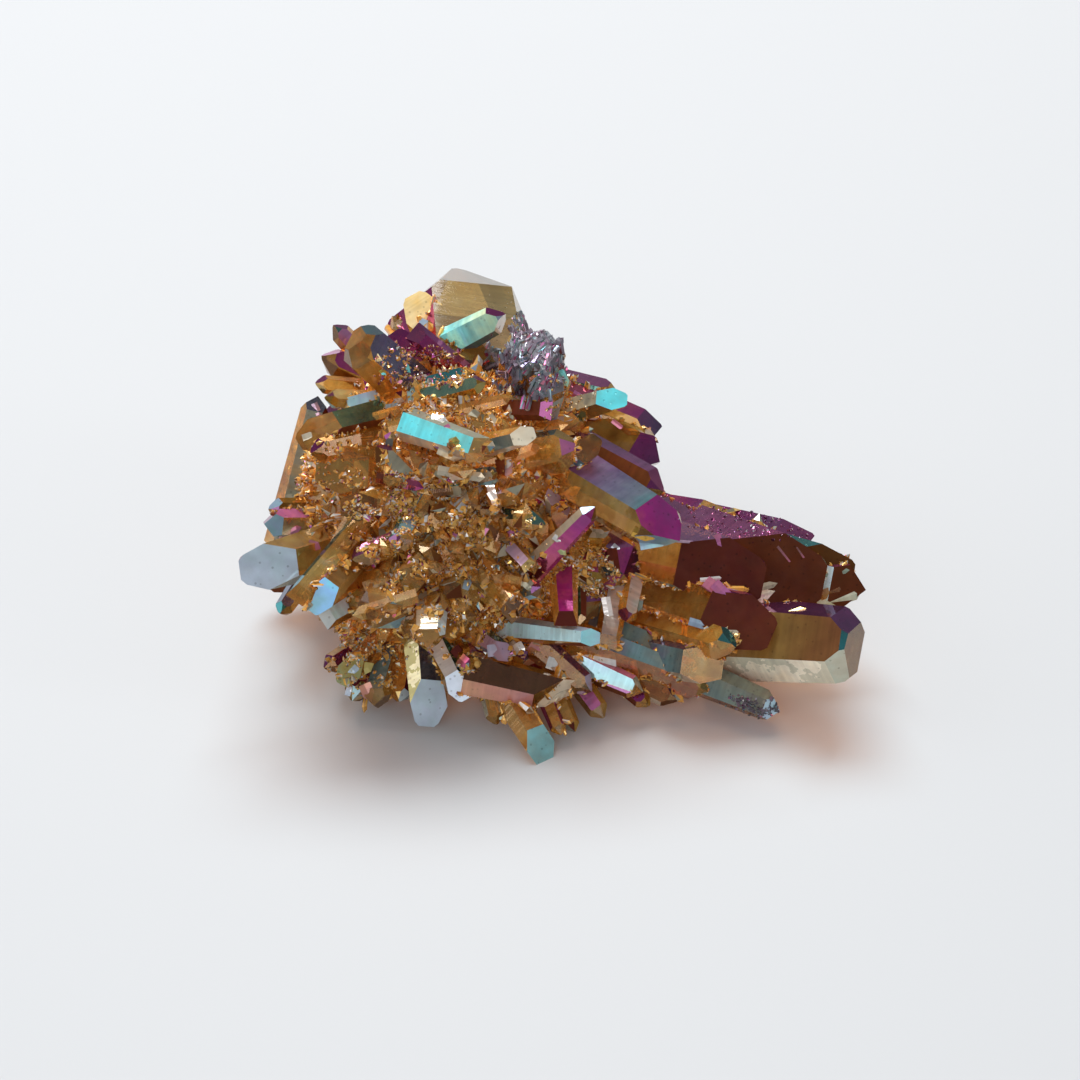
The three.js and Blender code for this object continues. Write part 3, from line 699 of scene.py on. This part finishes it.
FINISHES = {
    "body": crystal_finish("amber_quartz", metal=0.12, clear=0.7, rough=0.10, honey=0.75),
    "film": crystal_finish("filmed_quartz", metal=0.78, clear=0.4, rough=0.08, honey=0.0, drift=0.12),
    "bright": crystal_finish("bright_film", metal=0.4, clear=0.05, rough=0.10, honey=0.0, drift=0.22),
    "dull": crystal_finish("dull_film", metal=0.0, clear=0.0, rough=0.7, honey=0.0, drift=0.08, sheen=0.1),
    "pale": crystal_finish("pale_film", metal=0.2, clear=0.0, rough=0.08, honey=0.0, drift=0.15),
    "grain": crystal_finish("honey_grain", metal=0.14, clear=0.35, rough=0.12, honey=0.8, bump=0.1),
    "smoky": crystal_finish("smoky_quartz", metal=0.0, clear=0.62, rough=0.05, honey=0.1, drift=0.05,
                            bump=0.12, sheen=0.1, shadow=(0.8, 0.74, 0.66)),
    "rough": crystal_finish("broken_quartz", metal=0.15, clear=0.3, rough=0.5, honey=0.0, drift=0.5,
                            bump=1.0, sheen=0.3),
}
SLOTS = {name: n for n, name in enumerate(FINISHES)}
LOOK_ROWS = {name: n for n, name in enumerate(LOOKS)}


def look_table():
    """Each look as a row of numbers: film at the foot, how far the film changes to the tip by the shorter way
    round the film's colours, pale, shade and finish."""
    rows = []
    for finish, foot, tip, pale, shade in LOOKS.values():
        change = FILM[tip][0] - FILM[foot][0]
        change -= round(change)
        rows.append((FILM[foot][0], change, pale, shade, SLOTS[finish]))
    return np.array(rows)


LOOK_TABLE = look_table()

# How often each look comes where the photograph shows none, by the way that a facet faces. The dark look
# underneath and at the side carries painted shade
ON_TOP = {"plum": 3, "slate": 1.5, "teal": 1.2, "maroon": 2, "rose": 0.3, "amber": 3, "gold": 1,
          "cream": 0.5, "sky": 0.5, "ochre": 2}
AT_THE_SIDE = {"amber": 6, "brown": 3.5, "gold": 1.2, "ochre": 2.5, "cream": 0.5, "peach": 0.6,
               "maroon": 0.8, "dark": 0.8, "grey": 0.4}
UNDERNEATH = {"brown": 2, "amber": 2.5, "cream": 1.5, "grey": 1.2, "dark": 1, "sky": 0.4, "orange": 1}
TOP_RISE = 0.6  # a facet whose normal rises more than this is on top
UNDER_RISE = -0.25  # and one whose normal rises less than this is underneath
SIDE_LEAN = 0.35  # a crystal's side faces less than this along its axis


def drawn_looks(weights, count):
    """Looks drawn by weight, as row numbers of the table of looks."""
    share = np.array(list(weights.values()), float)
    rows = np.array([LOOK_ROWS[name] for name in weights])
    return rows[chance.choice(len(rows), count, p=share / share.sum())]


def looks_by_facing(normal):
    count = len(normal)
    top = drawn_looks(ON_TOP, count)
    side = drawn_looks(AT_THE_SIDE, count)
    under = drawn_looks(UNDERNEATH, count)
    return np.where(normal[:, 2] > TOP_RISE, top, np.where(normal[:, 2] < UNDER_RISE, under, side))


def write_faces(mesh, name, values, kind="FLOAT"):
    made = mesh.attributes.new(name, kind, "FACE")
    key = "vector" if kind == "FLOAT_VECTOR" else "value"
    made.data.foreach_set(key, np.asarray(values, np.float32).ravel())


def write_corners(mesh, name, values):
    made = mesh.attributes.new(name, "FLOAT", "CORNER")
    made.data.foreach_set("value", np.asarray(values, np.float32).ravel())


def finish_mesh(mesh, look, along, uneven, normal, axis):
    """Write what the finishes read: film, paleness, shade, long axis, and whether a face is a crystal's side.
    `look` is each face's row in the table of looks, and `along` how far up its crystal each corner lies."""
    foot, change, pale, shade, slot = LOOK_TABLE[look].T
    write_corners(mesh, "film", foot[:, None] + change[:, None] * along + uneven[:, None])
    write_faces(mesh, "pale", pale)
    write_faces(mesh, "shade", shade * (1 + 2 * uneven))
    write_faces(mesh, "axis", axis, "FLOAT_VECTOR")
    write_faces(mesh, "side", np.abs(dots(normal, axis)) < SIDE_LEAN)
    for material in FINISHES.values():
        mesh.materials.append(material)
    mesh.polygons.foreach_set("material_index", slot.astype(np.int32))
    mesh.update()


# The cluster's own facets

FACET_UNEVEN = 0.1  # how far the film of one facet differs from the next
HALF_PX = PHOTO_SIDE_PX / 2


def pixel_ray(u, v):
    """The way from the eye through a pixel of the photograph."""
    return (VIEW_AIM + RIGHT * ((u - HALF_PX) * PIXEL) + UP * ((HALF_PX - v) * PIXEL) - EYE).normalized()


def dress_cluster():
    """The crystals under their film. Returns their facets, and their skin for rays to hit."""
    piece = merged_copy(CLUSTER)
    piece.name = "quartz_points"
    mesh = piece.data
    mesh.name = "quartz_points"
    mesh.materials.clear()
    facets = Facets(mesh)
    skin = BVHTree.FromPolygons(facets.place.tolist(), facets.corners.tolist())
    look = looks_by_facing(facets.facet_normal)
    look[np.unique(facets.facet[facets.on_mass])] = LOOK_ROWS["amber"]
    along = facets.along.copy()
    for name, places in FACETS.items():
        for pixel in places.values():
            hit = skin.ray_cast(EYE, pixel_ray(*pixel))[2]
            if hit is None:
                continue
            look[facets.facet[hit]] = LOOK_ROWS[name]
            if name in ALONG_THE_FACET:
                own = facets.facet == facets.facet[hit]
                low = along[own].min()
                along[own] = (along[own] - low) / (along[own].max() - low)
    uneven = (chance.random(len(facets.facet_normal)) - 0.5) * FACET_UNEVEN
    finish_mesh(mesh, look[facets.facet], along, uneven[facets.facet], facets.normal,
                facets.axis[facets.crystal])
    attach(piece, "root")
    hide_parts(CLUSTER)
    return facets, skin


# Small points and druse

TIP_HEIGHT = 0.5  # height of the pattern's end, in lengths of its shaft
TIP_SLOPE = 0.6  # height of a small point's end, in widths
TIP_WANDER = 0.45  # how far its tip strays from its axis, in widths
SHOULDER_DROP = (0.65, 0.7)  # how low its shoulders lie, in heights of its end
LOWEST_SHOULDER = 0.15  # in lengths of the point
POINT_UNEVEN = 0.12  # how far the film of one point differs from the next
TABLE_GAP = 0.05 * MM


def unit(vectors):
    return vectors / np.maximum(np.linalg.norm(vectors, axis=-1, keepdims=True), LEAST_LENGTH)


def scattered(count):
    """A random way for each of so many points, its length random too."""
    return chance.normal(size=(count, 3))


def ranged(least_and_range, count):
    """Random values from a least one up to that and a range."""
    least, reach = least_and_range
    return least + reach * chance.random(count)


def point_pattern():
    """A six-sided point: its corners, how far up it each lies, from 0 at the foot to 1 at the tip, and its
    faces."""
    bpy.ops.object.select_all(action="DESELECT")
    bpy.ops.mesh.primitive_cylinder_add(vertices=6, radius=0.5, depth=1, location=(0, 0, 0.5))
    pattern = bpy.context.object
    bpy.ops.object.transform_apply(location=True)
    bpy.ops.object.mode_set(mode="EDIT")
    bpy.ops.mesh.select_all(action="DESELECT")
    bpy.ops.object.mode_set(mode="OBJECT")
    for face in pattern.data.polygons:
        face.select = face.normal.z > 0.9
    bpy.ops.object.mode_set(mode="EDIT")
    bpy.ops.mesh.extrude_region_move(TRANSFORM_OT_translate={"value": (0, 0, TIP_HEIGHT)})
    bpy.ops.mesh.merge(type="CENTER")
    bpy.ops.mesh.select_all(action="SELECT")
    bpy.ops.mesh.quads_convert_to_tris()
    bpy.ops.object.mode_set(mode="OBJECT")
    corners = np.array([tuple(v.co) for v in pattern.data.vertices])
    faces = np.array([tuple(face.vertices) for face in pattern.data.polygons])
    bpy.data.objects.remove(pattern)
    return corners[:, :2], corners[:, 2] / corners[:, 2].max(), faces


PATTERN_FLAT, PATTERN_UP, PATTERN_FACES = point_pattern()
AT_TIP = PATTERN_UP == 1
AT_SHOULDER = (PATTERN_UP > 0) & ~AT_TIP


def grow(name, feet, ways, lengths, widths, flatness, looks, backs=None):
    """One piece of many small points, each a closed shell. `feet` are their roots' middles, `looks` the
    weights of their faces' looks, or one look for each point, and `backs` what their flat sides face."""
    count = len(feet)
    ways = unit(ways)
    backs = unit(scattered(count)) if backs is None else backs
    side = unit(np.cross(ways, backs))
    other = np.cross(ways, side)
    flat = PATTERN_FLAT[None] * widths[:, None, None]
    flat = flat * np.stack([np.ones(count), flatness], axis=1)[:, None, :]
    wander = (chance.random((count, AT_TIP.sum(), 2)) - 0.5) * TIP_WANDER
    flat[:, AT_TIP] += wander * (widths * flatness)[:, None, None]
    height = np.zeros((count, len(PATTERN_UP)))
    height[:, AT_TIP] = lengths[:, None]
    lower = TIP_SLOPE * widths[:, None] * ranged(SHOULDER_DROP, (count, AT_SHOULDER.sum()))
    height[:, AT_SHOULDER] = np.maximum(lengths[:, None] - lower, LOWEST_SHOULDER * lengths[:, None])
    place = (feet[:, None] + side[:, None] * flat[..., :1] + other[:, None] * flat[..., 1:]
             + ways[:, None] * height[..., None])
    low, high = (np.array(corner) for corner in cad_box)
    keep = np.all((place > low + (0, 0, TABLE_GAP)) & (place < high), axis=(1, 2))
    place = place[keep]
    count = len(place)
    faces = (PATTERN_FACES[None] + len(PATTERN_UP) * np.arange(count)[:, None, None]).reshape(-1, 3)
    place = place.reshape(-1, 3)
    mesh = bpy.data.meshes.new(name)
    mesh.from_pydata(place.tolist(), [], faces.tolist())
    a, b, c = (place[faces[:, k]] for k in range(3))
    normal = unit(np.cross(b - a, c - a))
    each = len(PATTERN_FACES)
    if isinstance(looks, dict):
        look = drawn_looks(looks, count * each)
    else:
        look = np.repeat(looks[keep], each)
    along = np.tile(PATTERN_UP[PATTERN_FACES], (count, 1))
    uneven = (np.repeat(chance.random(count), each) - 0.5) * POINT_UNEVEN
    finish_mesh(mesh, look, along, uneven, normal, np.repeat(ways[keep], each, axis=0))
    piece = bpy.data.objects.new(name, mesh)
    bpy.context.scene.collection.objects.link(piece)
    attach(piece, "root")


# How often each look comes in the druse. The white grains, and some cream ones, are painted highlights that
# stand for glints, and the dark grains painted shade in the gaps
HONEY_GRAINS = {"grain_honey": 12, "grain_brown": 3.5, "grain_gold": 2.5, "gold": 0.5, "cream": 1.8,
                "white": 2.4, "rose": 0.35, "maroon": 0.5, "sky": 0.08, "dark": 1.0}
PINK_GRAINS = {"rose": 1.1, "maroon": 2, "cream": 1, "white": 1.2, "grain_honey": 4, "grain_brown": 3,
               "lilac": 0.5}
GOLD_GRAINS = {"yellow": 1.5, "grain_gold": 3, "cream": 1.5, "white": 1.4, "grain_honey": 3,
               "grain_brown": 2, "rose": 0.4}
BROKEN_GRAINS = {"rough": 14, "slate": 1, "lilac": 0.6, "white": 0.15, "maroon": 1.2, "rose": 0.25,
                 "grey": 1, "sky": 0.2}
PLATES = {"amber": 5, "ochre": 2, "orange": 1, "brown": 1.5, "cream": 0.8, "peach": 0.4, "dark": 0.5,
          "grey": 0.4}
PALE_GRAINS = {"cream": 2, "white": 1, "yellow": 0.7, "grain_honey": 4, "grey": 1, "grain_gold": 1,
               "grain_brown": 1}
PLUM_GRAINS = {"plum": 6, "maroon": 3, "lilac": 1.2, "rose": 0.6, "white": 0.5}

# How druse grows: its least and largest length in mm, how far it strays from straight out, how much of its
# length is sunk, and its width in lengths and its flatness, each as a least value and a range
ON_MASS = {"ends": (0.5, 1.9), "stray": 0.5, "sunk": 0.35, "width": (0.4, 0.2), "flatness": (0.7, 0.3)}
AT_FEET = {"ends": (0.4, 1.7), "stray": 0.5, "sunk": 0.4, "width": (0.4, 0.25), "flatness": (0.6, 0.4)}
AS_POINTS = {"ends": (1.6, 4.6), "stray": 0.55, "sunk": 0.5, "width": (0.26, 0.16), "flatness": (0.55, 0.4)}
IN_PATCH = {"stray": 0.8, "sunk": 0.5, "width": (0.55, 0.4), "flatness": (0.55, 0.45)}
SMALLNESS = 1.6  # above 1, small sizes are commoner than large ones
MASS_COUNT = 4200
FEET_COUNT = 4600
POINT_COUNT = 600
POINT_OUT = 0.5  # how far small points lean out of their corner,
POINT_RADIAL = 0.7  # and away from the mass's centre

# Patches of druse that the photograph shows on the crystals: the middle and half size of each in pixels, how
# many grains, their least and largest length in mm, and their looks
PATCHES = {
    "plates": ((440, 545), (120, 115), 150, (1.8, 4.2), PLATES),
    "middle": ((445, 545), (105, 105), 2400, (0.35, 1.5), HONEY_GRAINS),
    "pink": ((400, 500), (56, 46), 1100, (0.25, 0.9), PINK_GRAINS),
    "golden": ((596, 572), (24, 26), 420, (0.3, 1.0), GOLD_GRAINS),
    "crown": ((425, 368), (62, 26), 600, (0.3, 1.1), PINK_GRAINS),
    "crown_low": ((440, 408), (80, 16), 200, (0.3, 1.1), HONEY_GRAINS),
    "left": ((345, 480), (40, 60), 250, (0.3, 1.0), HONEY_GRAINS),
    "low_left": ((365, 660), (50, 36), 250, (0.3, 1.3), PALE_GRAINS),
    "front": ((500, 650), (70, 18), 150, (0.3, 1.0), HONEY_GRAINS),
    "ridge": ((560, 400), (30, 30), 150, (0.3, 1.0), PALE_GRAINS),
    "low_right": ((755, 705), (35, 16), 160, (0.25, 0.8), BROKEN_GRAINS),
    "prong_ridge": ((760, 520), (90, 26), 260, (0.2, 0.7), PLUM_GRAINS),
}
PATCH_REACH = 1.3  # how far from a patch's middle its faces lie, squared, 1 being on its rim,
PATCH_RIM = 1.1  # and how far its grains stand at most
PATCH_TRIES = 4  # places tried for each grain

CLUMP_WAVES = (640, 790, 710)  # waves that part the druse into clumps, over CLUMP_SPAN metres
CLUMP_SPAN = 6
CLUMP_NOISE = 0.9

# The broken face at the back, and its splinters
BROKEN_MIDDLE = (526, 358)
BROKEN_HALF = (42, 44)
BROKEN_REACH = 1.5
BROKEN_TRIES = 3000
BROKEN_COUNT = 1100
SPLINTER_LENGTHS = (0.5, 2.4)
SPLINTER_WIDTH = (0.25, 0.2)
SPLINTER_FLATNESS = (0.3, 0.5)
SPLINTER_RIGHT = 0.15  # how far they lean to the right of upright
SPLINTER_STRAY = 0.4
SPLINTER_LAID = 0.75  # how flat they lie on the face, 1 being quite flat
SPLINTER_BACK_STRAY = 0.35
SPLINTER_DEPTH = 0.05  # in mm


def sizes(count, ends):
    """Sizes in metres between two ends in mm, most of them small."""
    least, most = (end * MM for end in ends)
    return least * (most / least) ** (chance.random(count) ** SMALLNESS)


def on_faces(facets, weight, count):
    """Places spread over the faces by weight, with the way that each place faces."""
    picked = chance.choice(len(weight), count, p=weight / weight.sum())
    share = chance.dirichlet((1, 1, 1), count)
    place = np.einsum("nk,nkj->nj", share, facets.place[facets.corners[picked]])
    return place, facets.normal[picked]


def on_seams(facets, count):
    """Places along the inner corners where crystals meet, with the way out of each corner."""
    seams = np.flatnonzero(facets.inner)
    weight = facets.length[seams]
    picked = seams[chance.choice(len(seams), count, p=weight / weight.sum())]
    place = facets.place[facets.ends[picked, 0]] + facets.run[picked] * chance.random((count, 1))
    return place, unit(facets.normal[facets.sides[picked]].sum(axis=1))


def from_middle(places, middle, half):
    """How far from the middle of an ellipse of the photograph places show, squared, 1 being on its rim."""
    away = places - np.array(EYE)
    scale = VIEW_DISTANCE / (away @ -np.array(TOWARDS)) / PIXEL
    across = HALF_PX + away @ np.array(RIGHT) * scale
    down = HALF_PX - away @ np.array(UP) * scale
    off = (np.stack([across, down], axis=1) - middle) / half
    return dots(off, off)


def in_view(facets, middle, half, reach, count):
    """Places on the faces that face the viewer about an ellipse of the photograph, denser at its middle."""
    inside = np.maximum(0, reach - from_middle(facets.middle, middle, half))
    facing = np.maximum(facets.normal @ np.array(TOWARDS), 0)
    return on_faces(facets, facets.area * inside * facing, count)


def clumped(place):
    """True where druse grows in a clump, about half of all places."""
    x, y, z = (2 * np.pi * place * CLUMP_WAVES / CLUMP_SPAN).T
    wave = np.sin(x + 2 * y) + np.sin(y + 2 * z) + np.sin(z + 2 * x)
    return wave + CLUMP_NOISE * chance.normal(size=len(place)) > 0


def sprout(name, place, out, looks, ends, stray, sunk, width, flatness):
    """Grow druse at places, about the way out of each."""
    count = len(place)
    length = sizes(count, ends)
    way = unit(out + stray * scattered(count))
    foot = place - way * length[:, None] * sunk
    grow(name, foot, way, length, length * ranged(width, count), ranged(flatness, count), looks)


def grow_patch(facets, name, middle, half, count, ends, looks):
    """Druse over the facets that face the viewer inside an ellipse of the photograph."""
    place, out = in_view(facets, middle, half, PATCH_REACH, count * PATCH_TRIES)
    near = from_middle(place, middle, half) < PATCH_RIM * chance.random(len(place)) ** 0.5
    picked = np.flatnonzero(near & clumped(place))[:count]
    sprout("druse_" + name, place[picked], out[picked], looks, ends, **IN_PATCH)


def grow_broken(facets):
    """The broken face at the back: splinters that lie on it, most of them upright."""
    place, out = in_view(facets, BROKEN_MIDDLE, BROKEN_HALF, BROKEN_REACH, BROKEN_TRIES)
    picked = np.flatnonzero(from_middle(place, BROKEN_MIDDLE, BROKEN_HALF) < 1)[:BROKEN_COUNT]
    place, out = place[picked], out[picked]
    count = len(picked)
    length = sizes(count, SPLINTER_LENGTHS)
    lean = unit(np.array(UP) + np.array(RIGHT) * SPLINTER_RIGHT + SPLINTER_STRAY * scattered(count))
    way = unit(lean - out * dots(lean, out)[:, None] * SPLINTER_LAID)
    back = unit(out + SPLINTER_BACK_STRAY * scattered(count))
    foot = place - way * length[:, None] / 2 - out * SPLINTER_DEPTH * MM
    grow("druse_broken", foot, way, length, length * ranged(SPLINTER_WIDTH, count),
         ranged(SPLINTER_FLATNESS, count), BROKEN_GRAINS, back)


def grow_druse(facets):
    place, out = on_faces(facets, facets.area * facets.on_mass, MASS_COUNT)
    sprout("druse_on_mass", place, out, HONEY_GRAINS, **ON_MASS)
    place, out = on_seams(facets, FEET_COUNT)
    sprout("druse_at_feet", place, out, HONEY_GRAINS, **AT_FEET)
    place, out = on_seams(facets, POINT_COUNT)
    out = POINT_OUT * out + POINT_RADIAL * unit(place - MASS_CENTRE)
    sprout("small_points", place, out, HONEY_GRAINS, **AS_POINTS)
    for name, patch in PATCHES.items():
        grow_patch(facets, name, *patch)
    grow_broken(facets)


# Single chips and slivers that the photograph shows: from pixel to pixel, width in mm, look
# The white chips stand for glints as well as for pale chips: painted highlights
CHIPS = (
    ((616, 661), (545, 665), 2.2, "white"),
    ((431, 418), (449, 422), 1.6, "white"),
    ((436, 428), (446, 415), 1.3, "white"),
    ((471, 411), (483, 423), 1.5, "cream"),
    ((487, 413), (501, 433), 1.3, "cream"),
    ((438, 449), (466, 461), 1.7, "cream"),
    ((466, 458), (483, 457), 1.3, "peach"),
    ((401, 361), (411, 373), 1.0, "cyan"),
    ((381, 369), (386, 376), 0.8, "cyan"),
    ((370, 354), (383, 361), 1.2, "yellow"),
    ((714, 583), (734, 603), 1.6, "rose"),
    ((717, 534), (724, 553), 0.9, "rose"),
    ((778, 546), (792, 564), 0.8, "rose"),
    ((797, 547), (806, 560), 0.7, "rose"),
    ((700, 580), (742, 576), 0.6, "white"),
    ((752, 590), (800, 577), 1.0, "cream"),
    ((806, 578), (850, 570), 0.8, "cream"),
    ((676, 541), (704, 543), 0.4, "lilac"),
    ((689, 621), (716, 629), 1.1, "sky"),
    ((632, 610), (646, 601), 1.5, "sky"),
    ((314, 403), (321, 418), 0.9, "lilac"),
    ((279, 538), (302, 527), 0.9, "rose"),
    ((559, 370), (568, 387), 1.2, "cyan_green"),
    ((308, 544), (322, 548), 1.3, "rose"),
    ((384, 407), (424, 402), 0.8, "sky"),
    ((530, 648), (545, 655), 1.4, "peach"),
    ((459, 658), (472, 669), 1.7, "maroon"),
    ((514, 643), (523, 657), 1.4, "white"),
    ((487, 651), (505, 649), 1.7, "lilac"),
    ((633, 531), (655, 541), 1.5, "gold"),
    ((790, 614), (806, 607), 1.0, "yellow"),
    ((640, 547), (668, 541), 1.3, "sky"),
    ((553, 536), (561, 542), 0.8, "white"),
    ((556, 544), (566, 556), 1.0, "yellow"),
    ((612, 546), (622, 554), 1.2, "ice"),
    ((573, 393), (582, 398), 1.0, "rose"),
    ((446, 424), (450, 431), 0.8, "rose"),
    ((578, 690), (588, 693), 1.2, "lilac"),
    ((612, 420), (632, 436), 0.7, "rose"),
    ((541, 700), (572, 689), 2.0, "cream"),
    ((455, 507), (472, 490), 1.0, "ice"),
    ((489, 491), (499, 508), 0.9, "white"),
    ((498, 509), (504, 519), 0.8, "white"),
    ((388, 428), (512, 396), 1.6, "amber"),
    ((372, 416), (446, 396), 1.3, "ochre"),
    ((505, 438), (572, 420), 1.8, "amber"),
    ((480, 470), (540, 446), 1.6, "orange"),
    ((418, 596), (352, 616), 2.0, "ochre"),
    ((372, 560), (330, 612), 2.4, "amber"),
    ((446, 640), (500, 604), 2.2, "amber"),
    ((356, 500), (330, 556), 1.8, "ochre"),
    ((376, 478), (424, 488), 1.5, "maroon"),
    ((396, 502), (452, 506), 1.2, "dark"),
    ((499, 458), (501, 500), 1.3, "dark"),
    ((507, 456), (508, 480), 1.0, "white"),
    ((436, 470), (486, 478), 1.3, "cream"),
    ((444, 482), (500, 480), 1.2, "grey"),
    ((430, 494), (476, 488), 1.0, "brown"),
    ((740, 600), (802, 584), 2.4, "cream_low_painted_light"),
    ((804, 588), (846, 573), 2.0, "ice_low_painted_light"),
    ((818, 606), (862, 592), 1.7, "cream_low_painted_light"),
    ((820, 596), (846, 586), 1.4, "red"),
    ((706, 578), (736, 604), 1.9, "rose"),
    ((303, 440), (320, 434), 1.6, "cream"),
    ((718, 640), (748, 628), 2.4, "cream"),
    ((352, 674), (376, 664), 1.6, "yellow"),
    ((364, 684), (372, 702), 1.8, "salmon"),
    ((351, 668), (362, 678), 1.5, "sky_low_painted_light"),
    ((345, 690), (358, 694), 1.4, "ice_low_painted_light"),
    ((547, 662), (566, 668), 1.7, "white"),
    ((452, 648), (464, 660), 1.6, "dark"),
    ((458, 660), (468, 668), 1.6, "red"),
    ((530, 644), (546, 655), 1.8, "salmon"),
    ((515, 643), (524, 657), 1.6, "white"),
    ((612, 548), (618, 590), 1.5, "dark"),
    ((606, 596), (612, 636), 1.3, "white"),
    ((524, 580), (536, 592), 1.4, "cream"),
)
CHIP_FLATNESS = 0.35
CHIP_DEPTH = 0.15  # how far a chip's middle lies under the surface, in widths
CHIP_TO_VIEWER = 1.2  # how far its flat side turns to the viewer, against the face that it lies on
CHIP_LAID = 0.6  # how nearly it lies square to that, 1 being quite square


def place_chips(skin):
    """Lay each chip on what shows at the middle of its two pixels, its flat side towards the viewer."""
    feet, ways, lengths, widths, looks, backs = [], [], [], [], [], []
    for start, end, width, look in CHIPS:
        middle = Vector(start).lerp(Vector(end), 0.5)
        hit, out = skin.ray_cast(EYE, pixel_ray(*middle))[:2]
        if hit is None:
            continue
        near = (hit - EYE).dot(-TOWARDS) / VIEW_DISTANCE
        way = (RIGHT * (end[0] - start[0]) + UP * (start[1] - end[1])) * PIXEL * near
        back = (TOWARDS * CHIP_TO_VIEWER + out).normalized()
        way -= back * way.dot(back) * CHIP_LAID
        feet.append(hit - way / 2 - back * width * MM * CHIP_DEPTH)
        ways.append(way)
        lengths.append(way.length)
        widths.append(width * MM)
        looks.append(LOOK_ROWS[look])
        backs.append(back)
    grow("chips", np.array(feet), np.array(ways), np.array(lengths), np.array(widths),
         np.full(len(feet), CHIP_FLATNESS), np.array(looks), np.array(backs))


bpy.context.scene.view_settings.view_transform = "Standard"
make_camera()
make_table()
make_light()
facets, skin = dress_cluster()
grow_druse(facets)
place_chips(skin)
